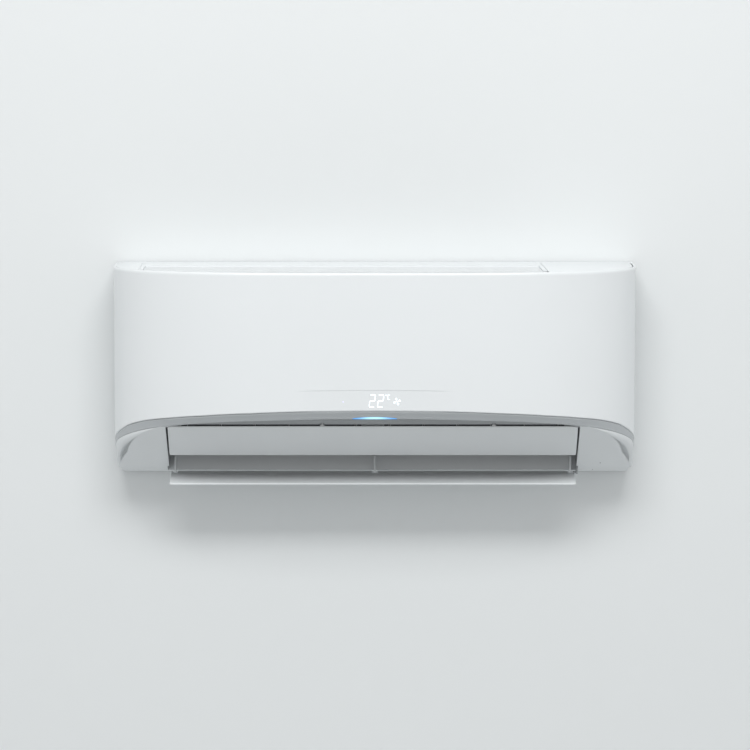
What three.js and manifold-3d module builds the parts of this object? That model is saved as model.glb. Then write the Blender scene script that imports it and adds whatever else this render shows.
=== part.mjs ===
// Wall-hung indoor unit of a mini split air conditioner, modelled as the pieces it comes apart into.
//
// Millimetres, +Z up, +X to the right of a person facing the unit, +Y into the wall. The origin is the
// centre of the mounting plate's back face, on the wall. The unit is shown running: the upper flap is a
// little open and the lower flap hangs open.
//
// The helpers below work in wall coordinates: x, depth out from the wall (Y = -depth), and height above
// the unit's underside. Only the outermost group moves them to the origin on the mounting plate.

import * as THREE from 'three';
import { mergeVertices } from 'three/addons/utils/BufferGeometryUtils.js';
import Module from 'manifold-3d';

const wasm = await Module();
wasm.setup();

// ---------------------------------------------------------------------------------------------------
// Driving dimensions
// ---------------------------------------------------------------------------------------------------

const gap = 0.3; // seated pieces keep this clearance
const far = 400; // reach of a cutting block past the body
const wall = 2.5; // thickness of the moulded casings

// Overall body. The front bulges in plan as a superellipse from one side to the other. At the corner inset
// from each side it has dropped back by the corner drop, which sets how full the corners are.
const body = { width: 765, depth: 214, height: 312, sideDepth: 84, cornerInset: 78.7, cornerDrop: 33.287,
  frontSteps: 44 };
const halfWidth = body.width / 2;
const top = body.height;
const power = frontPower();

// Front panel: a thin shell whose lower edge lies in a plane that falls towards the wall.
const panel = { wall: 3, lowHeight: 112, lowSlope: 0.42, topRound: 2.6, topRoundHeight: 4.5, rearGap: 1.2 };

// Cabinet: stands inside the panel at the front and flush with it at the sides.
const cabinet = { sideInset: 4.2, frontInset: 7.2, rear: 4, railDepth: 20, topPlate: 2.8, slotDrop: 14,
  slotMargin: 5 };
const coverOuter = [cabinet.sideInset, cabinet.frontInset];
const coverInner = [cabinet.sideInset + wall, cabinet.frontInset + wall];
const filterWindow = { low: 140, topDrop: 22, left: -halfWidth + 90.5, right: halfWidth - 144.5, post: 12 };

// Panel hinges: a pin on each arm of the panel, just behind the cabinet's front, in a post of the cabinet.
const panelHinge = { x: 236.5, setback: 0.4, below: 3, armWidth: 4, armReach: 15, pinRadius: 1.5,
  boreRadius: 1.8, reach: 6.5, postFrom: 2.5, postWidth: 4, postHalfDepth: 4 };
const hingeDepth = frontDepth(panelHinge.x + panelHinge.reach, ...coverInner) - panelHinge.setback;

// Top intake: a recessed grille with a dark slot in front of it, and a plain cover on the right.
const intake = { left: -halfWidth + 39.5, right: halfWidth - 137.1, skew: 5, frontDepth: 163, barsFrom: 70,
  barWidth: 3, barPitch: 10, barHeight: 3, endWidth: 6 };
const intakeRib = { pitch: 84.5, first: -253.5, count: 6, width: 2, height: 6, reach: 200 };

// Lower trim band under the panel: drops and steps back evenly all the way round.
const trim = { drop: 8.1, frontInset: 12, sideInset: 2, topInset: 1.2, thickness: 4, gap: 0.4 };
const lightBar = { halfLength: 33, depth: 4.6, height: 3.6 };

// Underside: a flat face sloping down to the wall, rounded into a flat strip along the wall.
const under = { angle: 34, edgeDepth: 168, edgeHeight: 84.6, round: 115, roundSteps: 12 };

// Outlet opening, not quite centred, between the two end caps.
const opening = { left: -halfWidth + 78.7, right: halfWidth - 84.2, rearDepth: 39.5 };
const endCap = { notchHeight: 11, cornerX: halfWidth - 7.9, cornerRadius: 7, seam: 0.3, lipFrom: 62 };

// Flaps, drawn closed in the underside and then turned to the pose that is modelled.
const flap = { endGap: 2.6, edgeGap: 2, pinRadius: 2.5, boreRadius: 2.8 };
const upperFlap = { chord: 83, pivotAlong: 4.6, pivotIn: 5, thick: 5, thin: 2.6, lugRadius: 4.1, lugWidth: 5,
  restAngle: -3 };
const lowerFlap = { pivotDepth: 45, pivotHeight: 1.4, nose: 3, tipDepth: 95.6, thick: 4.2, thin: 2.2,
  restAngle: 43.6, notchDepth: 6.5 };
const hanger = { places: [opening.left + 8.2, 0, opening.right - 8.3], width: 3.4, notch: 8.6, pinRadius: 1.6,
  boreRadius: 1.9 };

// Cross-flow fan, its bearing and its motor.
const guide = { depth: 32, wall: 3, clearance: 6, top: 113, lean: 2, low: 60, foot: 24, toe: 18 };
const fanSize = { radius: 46, bladeDepth: 12 };
const fan = { depth: guide.depth + guide.clearance + fanSize.radius, height: 133, radius: fanSize.radius,
  innerRadius: fanSize.radius - fanSize.bladeDepth, blades: 22, bladeThickness: 1.6 };
const fanFront = fan.depth + fan.radius;
const fanSpan = { left: opening.left + 3.8, right: halfWidth - 142.5, discs: 4, discThickness: 2.4,
  leftHub: 22, rightHub: 26, hubRadius: 12 };
const shaft = { radius: 4, bore: 4.3 };
const bearing = { radius: 10, length: 8, from: 16 };
const motor = { radius: 36, length: 58, endGap: 22, bossRadius: 14, bossLength: 8, cradle: 2 };

// Evaporator: three fin packs folded over the fan, held between two end plates.
const coil = { thickness: 24, left: fanSpan.left - 5, right: fanSpan.right - 2, plate: 1.4, tubeRadius: 3.5,
  bendReach: 12, bendRound: 7, pairPitch: 40 };
const coilShape = { frontDepth: fanFront + 7, frontLow: 124, shoulderHeight: top - 98, apexDrop: 36,
  rearDepth: 27, rearLow: top - 122 };

// Drain pan under the front fin pack.
const drain = { low: 112, high: 129, rear: fanFront + 1.5, front: fanFront + 36, wall: 2,
  left: coil.left - 7, right: coil.right + 7 };
const spout = { radius: 7, bore: 5, length: 14, depth: drain.rear + 14.5, height: 120 };

// Rear chassis.
const chassis = { halfWidth: halfWidth - 7.9, wallDepth: 13, wall: 2.5, lip: 1.6, floor: 3, sideDepth: 75,
  sideLow: 52 };

// Wall plate: thin steel sheet with two hooks and eight screw holes, centred on the origin.
const plate = { halfWidth: 330, low: 40, high: top - 22, sheet: 1.2, edge: 5, holeInset: 25,
  holeRadius: 2.5 };
const plateHoles = [-260, -90, 90, 260];
const hook = { x: 150, width: 30, height: top - 50, rise: 7, thickness: 2 };
const plateCentre = (plate.low + plate.high) / 2;

// Vertical vanes in the outlet, in two linked groups.
const vane = { perGroup: 6, thickness: 1.6, rear: 40, front: 98, high: 76, low: 30, pivotHeight: 62 };
const vanePin = { radius: 1.8, bore: 2.1, seat: 30.5 };
const link = { rise: 12, thickness: 2, height: 9, pinRadius: 1.2, slotWidth: 3.4, slotHeight: 6.6,
  slotBelow: 3.8 };

// Air filters, curved over the fin packs.
const filter = { net: 0.8, rib: 2.6, ribWidth: 4, frame: 7, sideGap: 3, lift: 0.4, columns: 4,
  barHeights: [180, 224, 258] };

// Refrigerant pipes.
const pipeLarge = { radius: 6.35, x: halfWidth - 32.5, end: 205, rise: 24, nutRadius: 7.4, nutLength: 22,
  tube: 0.875 };
const pipeSmall = { radius: 3.2, x: halfWidth - 47.5, end: 190, rise: 46, nutRadius: 6.5, nutLength: 16,
  tube: 0.625 };

// Electrical parts.
const control = { left: halfWidth - 118.5, right: halfWidth - 33.5, rear: 62, front: 132, low: top - 130,
  topDrop: 30, wall: 2, footGap: 15 };
const display = { left: -27, right: 57, low: 116, high: 134, lens: 2 };
const button = { x: halfWidth - 120.5, height: 128, radius: 4, length: 17, behindCover: 2.5 };
const buttonFace = frontDepth(button.x, ...coverOuter) - button.behindCover;
const stepper = { radius: 12, length: 12.5, upperOffset: [-9, 7.5], lowerPlace: [68, 42] };
const sensor = { x: halfWidth - 182.5, width: 8, low: 146, height: 12, thick: 3.7 };
const screw = { places: [-76, 173], depth: 177.5, headRadius: 3.2, shankRadius: 1.5, bore: 1.8 };

// ---------------------------------------------------------------------------------------------------
// Solids
// ---------------------------------------------------------------------------------------------------

const basisX = new THREE.Matrix4().makeBasis(
  new THREE.Vector3(0, -1, 0), new THREE.Vector3(0, 0, 1), new THREE.Vector3(-1, 0, 0));
const basisY = new THREE.Matrix4().makeBasis(
  new THREE.Vector3(1, 0, 0), new THREE.Vector3(0, 0, 1), new THREE.Vector3(0, -1, 0));

/** Turns a closed three.js geometry into a solid that can be joined and cut. */
function solidOf(geometry) {
  geometry.deleteAttribute('normal');
  geometry.deleteAttribute('uv');
  const merged = mergeVertices(geometry, 1e-4);
  const mesh = new wasm.Mesh({
    numProp: 3,
    vertProperties: new Float32Array(merged.attributes.position.array),
    triVerts: new Uint32Array(merged.index.array),
  });
  return new wasm.Manifold(mesh);
}

/** Turns a solid back into a three.js geometry. */
function geometryOf(solid) {
  const mesh = solid.getMesh();
  const geometry = new THREE.BufferGeometry();
  geometry.setAttribute('position', new THREE.BufferAttribute(mesh.vertProperties, 3));
  geometry.setIndex(new THREE.BufferAttribute(mesh.triVerts, 1));
  geometry.computeVertexNormals();
  return geometry;
}

/** The value at a share of the way from one to the other. */
function mix(from, to, share) {
  return from + (to - from) * share;
}

/** Joins any number of solids. */
function join(...solids) {
  return solids.reduce((whole, piece) => whole.add(piece));
}

/** Cuts any number of solids out of the first. */
function cut(solid, ...tools) {
  return tools.reduce((rest, tool) => rest.subtract(tool), solid);
}

function extruded(points, length, matrix) {
  const shape = new THREE.Shape(points.map(([u, v]) => new THREE.Vector2(u, v)));
  const geometry = new THREE.ExtrudeGeometry(shape, { depth: length, bevelEnabled: false, curveSegments: 1 });
  return solidOf(geometry.applyMatrix4(matrix));
}

/** Extrudes a side view of [depth, height] points from x0 to x1. */
function prismX(points, x0, x1) {
  return extruded(points, x1 - x0, new THREE.Matrix4().makeTranslation(x1, 0, 0).multiply(basisX));
}

/** Extrudes a front view of [x, height] points from one depth to another. */
function prismY(points, depth0, depth1) {
  const start = new THREE.Matrix4().makeTranslation(0, -depth0, 0);
  return extruded(points, depth1 - depth0, start.multiply(basisY));
}

/** Extrudes a plan view of [x, depth] points from one height to another. */
function prismZ(points, low, high) {
  const flipped = points.map(([x, depth]) => [x, -depth]);
  return extruded(flipped, high - low, new THREE.Matrix4().makeTranslation(0, 0, low));
}

function block([x0, x1], [depth0, depth1], [low, high]) {
  const box = new THREE.BoxGeometry(x1 - x0, depth1 - depth0, high - low);
  return solidOf(box.translate((x0 + x1) / 2, -(depth0 + depth1) / 2, (low + high) / 2));
}

/** A round bar along x, along the depth or upright. */
function rodX(x0, x1, depth, height, radius, sides = 24) {
  const bar = new THREE.CylinderGeometry(radius, radius, x1 - x0, sides).rotateZ(Math.PI / 2);
  return solidOf(bar.translate((x0 + x1) / 2, -depth, height));
}

function rodY(x, depth0, depth1, height, radius, sides = 20) {
  const bar = new THREE.CylinderGeometry(radius, radius, depth1 - depth0, sides);
  return solidOf(bar.translate(x, -(depth0 + depth1) / 2, height));
}

function rodZ(x, depth, low, high, radius, sides = 20) {
  const bar = new THREE.CylinderGeometry(radius, radius, high - low, sides).rotateX(Math.PI / 2);
  return solidOf(bar.translate(x, -depth, (low + high) / 2));
}

/** Sweeps a round section along a route of [x, depth, height] points with rounded bends. */
function pipe(route, radius, bend, halfSides, steps) {
  const points = route.map(([x, depth, height]) => new THREE.Vector3(x, -depth, height));
  const path = new THREE.CurvePath();
  let start = points[0];
  for (let i = 1; i < points.length - 1; i += 1) {
    const before = points[i].clone().add(points[i - 1].clone().sub(points[i]).setLength(bend));
    const after = points[i].clone().add(points[i + 1].clone().sub(points[i]).setLength(bend));
    path.add(new THREE.LineCurve3(start, before));
    path.add(new THREE.QuadraticBezierCurve3(before, points[i], after));
    start = after;
  }
  path.add(new THREE.LineCurve3(start, points[points.length - 1]));
  const section = new THREE.Shape().absarc(0, 0, radius, 0, 2 * Math.PI);
  const geometry = new THREE.ExtrudeGeometry(section, { steps, extrudePath: path, curveSegments: halfSides });
  return solidOf(geometry);
}

/** A span along x, taken over to the left side if the side is negative. */
function mirrored([x0, x1], side) {
  return side < 0 ? [-x1, -x0] : [x0, x1];
}

/** Builds a closed body through rings of [x, depth, height] points, one ring above the other. */
function loft(rings) {
  const count = rings[0].length;
  const positions = rings.flat().flatMap(([x, depth, height]) => [x, -depth, height]);
  const plan = rings[0].map(([x, depth]) => new THREE.Vector2(x, depth));
  const caps = THREE.ShapeUtils.triangulateShape(plan, []);
  const lastRing = (rings.length - 1) * count;
  const index = [];
  for (const [a, b, c] of caps) {
    index.push(a, b, c, lastRing + a, lastRing + c, lastRing + b);
  }
  for (let ring = 0; ring < rings.length - 1; ring += 1) {
    for (let i = 0; i < count; i += 1) {
      const a = ring * count + i;
      const b = ring * count + (i + 1) % count;
      index.push(b, a, a + count, b, a + count, b + count);
    }
  }
  const geometry = new THREE.BufferGeometry();
  geometry.setAttribute('position', new THREE.Float32BufferAttribute(positions, 3));
  geometry.setIndex(index);
  return solidOf(geometry);
}

// ---------------------------------------------------------------------------------------------------
// Outlines that several pieces share
// ---------------------------------------------------------------------------------------------------

/** The superellipse's power, from the corner point that the front curve passes through. */
function frontPower() {
  const bulge = 1 - body.cornerDrop / (body.depth - body.sideDepth);
  return Math.log(1 - bulge ** 2) / Math.log(1 - body.cornerInset / halfWidth);
}

/** Depth of an inset front curve at an x. */
function frontDepth(x, sideInset, frontInset) {
  const share = (Math.abs(x) / (halfWidth - sideInset)) ** power;
  return body.sideDepth + (body.depth - frontInset - body.sideDepth) * Math.sqrt(1 - share);
}

/** The front curve in plan from the right side to the left, inset at the sides and at the front. */
function frontCurve(sideInset, frontInset) {
  const sweep = body.depth - frontInset - body.sideDepth;
  const points = [];
  for (let i = 0; i <= body.frontSteps; i += 1) {
    const angle = (Math.PI * i) / body.frontSteps;
    const across = Math.cos(angle);
    const x = (halfWidth - sideInset) * Math.sign(across) * Math.abs(across) ** (2 / power);
    points.push([x, body.sideDepth + sweep * Math.sin(angle)]);
  }
  return points;
}

/** The closed plan of the body back to a given depth. */
function planOutline(sideInset, frontInset, rear) {
  const x = halfWidth - sideInset;
  return [...frontCurve(sideInset, frontInset), [-x, rear], [x, rear]];
}

/** A C-shaped plan between two front curves. */
function stripOutline(outer, inner) {
  return [...frontCurve(...outer), ...frontCurve(...inner).reverse()];
}

/** Height of the panel's lower edge at a depth, and of the trim's lower edge below it. */
function panelEdge(depth) {
  return panel.lowHeight - panel.lowSlope * (body.depth - depth);
}

function trimEdge(depth) {
  return panelEdge(depth) - trim.drop;
}

/** Unit vectors of the sloping underside: down towards the wall, and into the body. */
const slope = THREE.MathUtils.degToRad(under.angle);
const alongUnder = [-Math.cos(slope), -Math.sin(slope)];
const intoUnder = [-Math.sin(slope), Math.cos(slope)];

/** A point of the underside plane, measured from the opening's front edge and into the body. */
function underPoint(along, inward) {
  return [
    under.edgeDepth + along * alongUnder[0] + inward * intoUnder[0],
    under.edgeHeight + along * alongUnder[1] + inward * intoUnder[1],
  ];
}

const tangent = under.round * Math.tan(slope / 2);
const flatDepth = under.edgeDepth - under.edgeHeight / Math.tan(slope) - tangent;

/** The round between the sloping face and the flat strip, from the slope down, lifted by an amount. */
function underRound(lift, from = slope, to = 0) {
  const points = [];
  for (let i = 0; i <= under.roundSteps; i += 1) {
    const angle = from + ((to - from) * i) / under.roundSteps;
    points.push([
      flatDepth + (under.round - lift) * Math.sin(angle),
      under.round - (under.round - lift) * Math.cos(angle),
    ]);
  }
  return points;
}

/** Everything above the underside, lifted by a wall thickness. */
function aboveUnderside(lift) {
  const front = underPoint(-far / 4, lift);
  return prismX([front, ...underRound(lift), [-far / 4, lift], [-far / 4, far], [front[0], far]],
    -halfWidth - far, halfWidth + far);
}

/** Front view of the lower body: the corners step in and round off where they meet the wall. */
function lowerFrontView(inset) {
  const x = endCap.cornerX - inset;
  const radius = endCap.cornerRadius;
  const outline = [[-halfWidth, far], [halfWidth, far], [halfWidth, endCap.notchHeight],
    [x, endCap.notchHeight]];
  for (let i = 0; i <= 6; i += 1) {
    const angle = (Math.PI / 2) * (i / 6);
    outline.push([x - radius + radius * Math.cos(angle), inset + radius - radius * Math.sin(angle)]);
  }
  const left = outline.slice(2).reverse().map(([px, height]) => [-px, height]);
  return prismY([...outline, ...left], -far, far);
}

// ---------------------------------------------------------------------------------------------------
// Materials and nodes
// ---------------------------------------------------------------------------------------------------

function material(color, roughness, metalness = 0, extra = {}) {
  return new THREE.MeshStandardMaterial({ color, roughness, metalness, ...extra });
}

const glossWhite = () => material(0xf2f5f6, 0.22);
const satinWhite = () => material(0xe8ebec, 0.45);
const trimGrey = () => material(0xc6cbce, 0.4);
const innerGrey = () => material(0x8d9194, 0.6);
const fanGrey = () => material(0x55595c, 0.6);
const steel = () => material(0xb4b8bb, 0.35, 0.9);
const copper = () => material(0xc27a4d, 0.3, 1);
const aluminium = () => material(0xc9cdd0, 0.4, 0.8);
const brass = () => material(0xcaa24f, 0.3, 1);
const rubber = () => material(0x2b2b2c, 0.8);
const boardGreen = () => material(0x2f6b45, 0.5);

const unit = new THREE.Group();
unit.position.z = -plateCentre;

/** Adds a named piece that stays where it was drawn. */
function add(name, solid, finish) {
  const mesh = new THREE.Mesh(geometryOf(solid), finish);
  mesh.name = name;
  unit.add(mesh);
  return mesh;
}

/** Adds a named piece turned about an axis along x through [depth, height]. */
function addTurned(name, solid, finish, [depth, height], degrees) {
  const pivot = new THREE.Group();
  pivot.position.set(0, -depth, height);
  pivot.rotation.x = THREE.MathUtils.degToRad(degrees);
  const mesh = new THREE.Mesh(geometryOf(solid).translate(0, depth, -height), finish);
  mesh.name = name;
  pivot.add(mesh);
  unit.add(pivot);
}

// ---------------------------------------------------------------------------------------------------
// Wall plate and rear chassis
// ---------------------------------------------------------------------------------------------------

/** Depth of the rear guide's face at a height below the fan. */
function guideFace(height) {
  return guide.depth + (guide.lean * (guide.top - height)) / (guide.top - guide.low);
}

function mountingPlate() {
  const x = plate.halfWidth;
  const sheet = block([-x, x], [0, plate.sheet], [plate.low, plate.high]);
  const lowerEdge = block([-x, x], [0, plate.edge], [plate.low, plate.low + plate.sheet]);
  const upperEdge = block([-x, x], [0, plate.edge], [plate.high - plate.sheet, plate.high]);
  const tip = chassis.wallDepth + 6;
  const hookView = [[0, hook.height], [tip, hook.height], [tip, hook.height + hook.rise],
    [tip - hook.thickness, hook.height + hook.rise], [tip - hook.thickness, hook.height + hook.thickness],
    [0, hook.height + hook.thickness]];
  const hooks = [-hook.x, hook.x].map((centre) => (
    prismX(hookView, centre - hook.width / 2, centre + hook.width / 2)));
  const rows = [plate.low + plate.holeInset, plate.high - plate.holeInset];
  const holes = plateHoles.flatMap((x0) => rows.map(
    (height) => rodY(x0, -1, plate.sheet + 1, height, plate.holeRadius, 12)));
  return cut(join(sheet, lowerEdge, upperEdge, ...hooks), ...holes);
}

/** The guide behind and below the fan: round at the top, then straight down to the outlet's rear edge. */
function rearGuideView() {
  const inner = [];
  for (let degrees = 150; degrees <= 180; degrees += 6) {
    const angle = THREE.MathUtils.degToRad(degrees);
    const radius = fan.radius + 5 + (degrees - 150) / 30;
    inner.push([fan.depth + radius * Math.cos(angle), fan.height + radius * Math.sin(angle)]);
  }
  inner.push([guide.depth, guide.top], [guide.depth + guide.lean, guide.low], [guide.depth + 3, guide.foot],
    [guide.depth + 7, guide.toe], [opening.rearDepth, chassis.floor + 2.6]);
  const outer = inner.map(([depth, height]) => [depth - guide.wall, height]).reverse();
  outer[0] = [opening.rearDepth - guide.wall, chassis.floor - 0.5];
  return [...inner, ...outer];
}

/** A plate hanging from the rear guide that carries the lower flap's pin. */
function hangerAt(x) {
  const { pivotDepth, pivotHeight } = lowerFlap;
  const view = [[guide.depth, 40], [guide.depth + 4, 40], [pivotDepth + 2, 26], [pivotDepth + 4, pivotHeight],
    [pivotDepth + 2.6, pivotHeight - 2.8], [pivotDepth - 1, pivotHeight - 3.8], [opening.rearDepth - 1, 7],
    [opening.rearDepth - 1, 18], [guide.depth, 26]];
  return prismX(view, x - hanger.width / 2, x + hanger.width / 2);
}

function vanePlaces(group) {
  const middle = (opening.left + opening.right) / 2;
  const half = (opening.right - opening.left) / 2;
  const pitch = half / vane.perGroup;
  const start = group === 'left' ? opening.left : middle;
  return Array.from({ length: vane.perGroup }, (_, i) => start + pitch * (i + 0.5));
}

const allVanes = [...vanePlaces('left'), ...vanePlaces('right')];
const motorSpan = [fanSpan.right + motor.endGap, fanSpan.right + motor.endGap + motor.length];

const chassisBack = chassis.wallDepth + chassis.wall;
const ductSpan = [opening.left - wall, opening.right + wall];

/** Back wall, roof lip, sides, and the floor strip along the wall. */
function chassisShell() {
  const x = chassis.halfWidth;
  const roof = top - cabinet.topPlate - gap;
  const backWall = block([-x, x], [chassis.wallDepth, chassisBack], [guide.toe, roof]);
  const roofLip = block([-x, x], [chassis.lip, chassisBack], [roof - chassis.wall, roof]);
  const sides = [[-x, -x + chassis.wall], [x - chassis.wall, x]].map(
    (span) => block(span, [chassis.lip, chassis.sideDepth], [chassis.sideLow, roof]));
  const floorEnd = Math.asin((opening.rearDepth - flatDepth) / under.round);
  const floorView = [[chassis.lip, 0], ...underRound(0, 0, floorEnd).slice(1),
    [opening.rearDepth, chassis.floor + 3], [chassis.lip, chassis.floor]];
  const rearRib = block(ductSpan, [chassis.wallDepth, chassisBack], [1, guide.toe + 2]);
  return join(backWall, roofLip, ...sides, prismX(floorView, ...ductSpan), rearRib);
}

/** A rib under the rear fin pack that leads its water away behind the fan. */
function rearTrough() {
  const low = fan.height + 22;
  const view = [[chassisBack - 1, low + 5], [chassisBack - 1, low + 21], [chassisBack + 1.5, low + 21],
    [chassisBack + 1.5, low + 8], [guide.depth + 4, low + 5], [guide.depth + 6, low + 2],
    [guide.depth + 2, low]];
  return prismX(view, ...ductSpan);
}

/** The wall that holds the fan's bearing at its left end. */
function bearingWall() {
  const { depth, height } = fan;
  const view = [[chassisBack - 1, height - 33], [chassisBack - 1, height + 29], [depth - 10, height + 22],
    [depth + 14, height + 12], [depth + 14, height - 12], [depth - 10, height - 22]];
  const hole = rodX(fanSpan.left - bearing.from - 4, fanSpan.left, depth, height, bearing.radius + gap);
  return cut(prismX(view, fanSpan.left - bearing.from, fanSpan.left - bearing.from + bearing.length), hole);
}

const cradleLow = fan.height - motor.radius - motor.cradle - 3;

/** The half-round seat under the fan motor. */
function motorCradle() {
  const { depth, height } = fan;
  const view = [[guide.depth - 1, cradleLow], [guide.depth - 1, height - 12], [depth, height],
    [depth + 40, height - 18], [depth + 40, cradleLow]];
  const seat = rodX(motorSpan[0] - 2, motorSpan[1] + 2, depth, height, motor.radius + gap, 40);
  return cut(prismX(view, motorSpan[0] + 6, motorSpan[1] - 6), seat);
}

function rearChassis() {
  const whole = join(chassisShell(), prismX(rearGuideView(), ...ductSpan), rearTrough(),
    ...hanger.places.map(hangerAt), bearingWall(), motorCradle());
  const pinHoles = allVanes.map((place) => (
    rodY(place, guide.depth - 8, vane.rear, vane.pivotHeight, vanePin.bore, 16)));
  const flapHoles = rodX(-halfWidth, halfWidth, lowerFlap.pivotDepth, lowerFlap.pivotHeight,
    hanger.boreRadius, 16);
  const hookSlots = [-hook.x, hook.x].map((centre) => block(
    [centre - hook.width / 2 - 1, centre + hook.width / 2 + 1], [chassis.wallDepth - 1, chassisBack + 1],
    [hook.height - 5, hook.height + hook.thickness + gap]));
  return cut(whole, ...pinHoles, flapHoles, ...hookSlots);
}

// ---------------------------------------------------------------------------------------------------
// Casing: panel, cabinet, top, trim and end caps
// ---------------------------------------------------------------------------------------------------

const hingeHeight = top - panelHinge.below;

/** One hinge arm inside the panel's top edge, with its pin pointing outwards. */
function panelArm(side) {
  const { armWidth, armReach, reach, pinRadius } = panelHinge;
  const depth = hingeDepth;
  const ends = mirrored([panelHinge.x - armWidth, panelHinge.x], side);
  const view = [[depth - 3, hingeHeight - 3], [depth - 3, hingeHeight + 2.4],
    [depth + armReach, hingeHeight + 2.4], [depth + armReach, hingeHeight - 9],
    [depth + 6, hingeHeight - 5]];
  const pin = mirrored([panelHinge.x - 1, panelHinge.x + reach], side);
  return join(prismX(view, ...ends), rodX(...pin, depth, hingeHeight, pinRadius, 16));
}

function frontPanel() {
  const level = (height, inset) => stripOutline([inset, inset], [panel.wall, panel.wall])
    .map(([x, depth]) => [x, depth, height]);
  const shell = loft([level(0, 0), level(top - panel.topRoundHeight, 0),
    level(top - panel.topRoundHeight / 3, panel.topRound / 3), level(top, panel.topRound)]);
  const belowEdge = prismX([[-far, -far], [-far, panelEdge(-far)], [far, panelEdge(far)], [far, -far]],
    -far - halfWidth, far + halfWidth);
  const inside = prismZ(planOutline(panel.wall / 2, panel.wall / 2, body.sideDepth - 1), 0, top);
  const arms = [-1, 1].map((side) => panelArm(side).intersect(inside));
  return join(cut(shell, belowEdge), ...arms);
}

/** A bearing post on the cabinet's front rail for one hinge pin. */
function hingePost(side) {
  const { x, boreRadius, postFrom, postWidth, postHalfDepth } = panelHinge;
  const ends = mirrored([x + postFrom, x + postFrom + postWidth], side);
  const post = block(ends, [hingeDepth - postHalfDepth, hingeDepth + postHalfDepth],
    [top - cabinet.slotDrop - 12, top - gap]);
  return cut(post, rodX(ends[0] - 1, ends[1] + 1, hingeDepth, hingeHeight, boreRadius, 16));
}

const sideRear = body.sideDepth - panel.rearGap; // rear face of the step behind the front panel

/** A side of the cabinet: flush with the panel's outside behind it, and stepped in under it. */
function cabinetSide(side) {
  const outerWall = block(mirrored([halfWidth - wall, halfWidth], side), [cabinet.rear, sideRear], [0, top]);
  const web = block(mirrored([halfWidth - coverInner[0], halfWidth], side), [sideRear - wall, sideRear],
    [0, top]);
  const inset = block(mirrored([halfWidth - coverInner[0], halfWidth - coverOuter[0]], side),
    [sideRear - wall, body.sideDepth + 1], [0, top]);
  return join(outerWall, web, inset);
}

/** The corner of the cabinet's top that stays left of the intake. */
function topCorner() {
  const high = [top - cabinet.topPlate, top];
  const plan = join(prismZ(planOutline(...coverOuter, cabinet.rear), ...high),
    block([-halfWidth, 0], [cabinet.rear, sideRear], high));
  return plan.intersect(block([-far - halfWidth, intake.left], [0, far], [0, far]));
}

/** What is cut away under the cabinet: it ends where the trim begins. */
function belowCabinet() {
  const step = body.sideDepth - 0.6;
  return prismX([[-far, -far], [-far, trimEdge(-far)], [step, trimEdge(body.sideDepth) + gap],
    [step, panelEdge(body.sideDepth) + 0.8], [far, panelEdge(far) + 0.8], [far, -far]],
  -far - halfWidth, far + halfWidth);
}

/** The ledge that the filters stand on and the post between them. */
function filterRest() {
  const { left, right, low, topDrop } = filterWindow;
  const inside = prismZ(planOutline(cabinet.sideInset + 1, cabinet.frontInset + 1, 0), 0, top);
  const rear = coilShape.frontDepth + coil.thickness + 2;
  const ledge = block([left, right], [rear, far], [low - wall, low]);
  const divider = block([-2, 2], [rear + 8, far], [low - wall, top - topDrop]);
  return join(ledge, divider).intersect(inside);
}

function cabinetShell() {
  const strip = prismZ(stripOutline(coverOuter, coverInner), 0, top);
  const rearRail = block([-halfWidth, halfWidth], [cabinet.rear, cabinet.railDepth],
    [top - cabinet.topPlate, top]);
  const shell = join(strip, cabinetSide(-1), cabinetSide(1), rearRail);
  const slot = block([intake.left, intakeRight(0) + cabinet.slotMargin], [cabinet.railDepth, far],
    [top - cabinet.slotDrop, far]);
  const coverSeat = block([intakeRight(0), halfWidth - wall], [cabinet.railDepth, far],
    [top - cabinet.topPlate - gap, far]);
  const { left, right, post, low, topDrop } = filterWindow;
  const windows = [[left, -post / 2], [post / 2, right]].map(
    (span) => block(span, [body.sideDepth + 20, far], [low, top - topDrop]));
  const displayWindow = block([display.left, display.right], [body.depth - 30, far],
    [display.low, display.high]);
  const buttonHole = rodY(button.x, body.sideDepth, far, button.height, button.radius + gap);
  const opened = cut(shell, belowCabinet(), slot, coverSeat, ...windows, displayWindow, buttonHole);
  return join(opened, topCorner(), filterRest(), hingePost(-1), hingePost(1));
}

/** The intake's outer edge on the right runs at a slight angle. */
function intakeRight(depth) {
  return intake.right + (intake.skew * (depth - cabinet.railDepth)) / (intake.frontDepth - cabinet.railDepth);
}

function topGrille() {
  const left = intake.left + gap;
  const rear = cabinet.railDepth + gap;
  const front = intake.frontDepth;
  const plateLow = top - cabinet.topPlate;
  const barHigh = plateLow + 0.5;
  const barLow = barHigh - intake.barHeight;
  const plan = (rearDepth, frontDepth) => [[left, rearDepth], [left, frontDepth],
    [intakeRight(frontDepth) - gap, frontDepth], [intakeRight(rearDepth) - gap, rearDepth]];
  const rearPlate = prismZ(plan(rear, intake.barsFrom), plateLow, top - 0.2);
  const bars = [];
  for (let depth = intake.barsFrom; depth < front - 1; depth += intake.barPitch) {
    bars.push(prismZ(plan(depth, depth + intake.barWidth), barLow, barHigh));
  }
  const leftEnd = block([left, left + intake.endWidth], [rear, front], [barLow, top - 0.2]);
  const rightEnd = prismZ([[intakeRight(rear) - intake.endWidth, rear],
    [intakeRight(front) - intake.endWidth, front], [intakeRight(front) - gap, front],
    [intakeRight(rear) - gap, rear]], barLow, top - 0.2);
  const ribs = Array.from({ length: intakeRib.count }, (_, i) => {
    const centre = intakeRib.first + i * intakeRib.pitch;
    return block([centre - intakeRib.width / 2, centre + intakeRib.width / 2], [rear, intakeRib.reach],
      [barLow - intakeRib.height, barLow + 1]);
  });
  const inside = prismZ(planOutline(coverInner[0] + 1, coverInner[1] + 1, 0), 0, top);
  return join(rearPlate, ...bars, leftEnd, rightEnd, ...ribs).intersect(inside);
}

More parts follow.
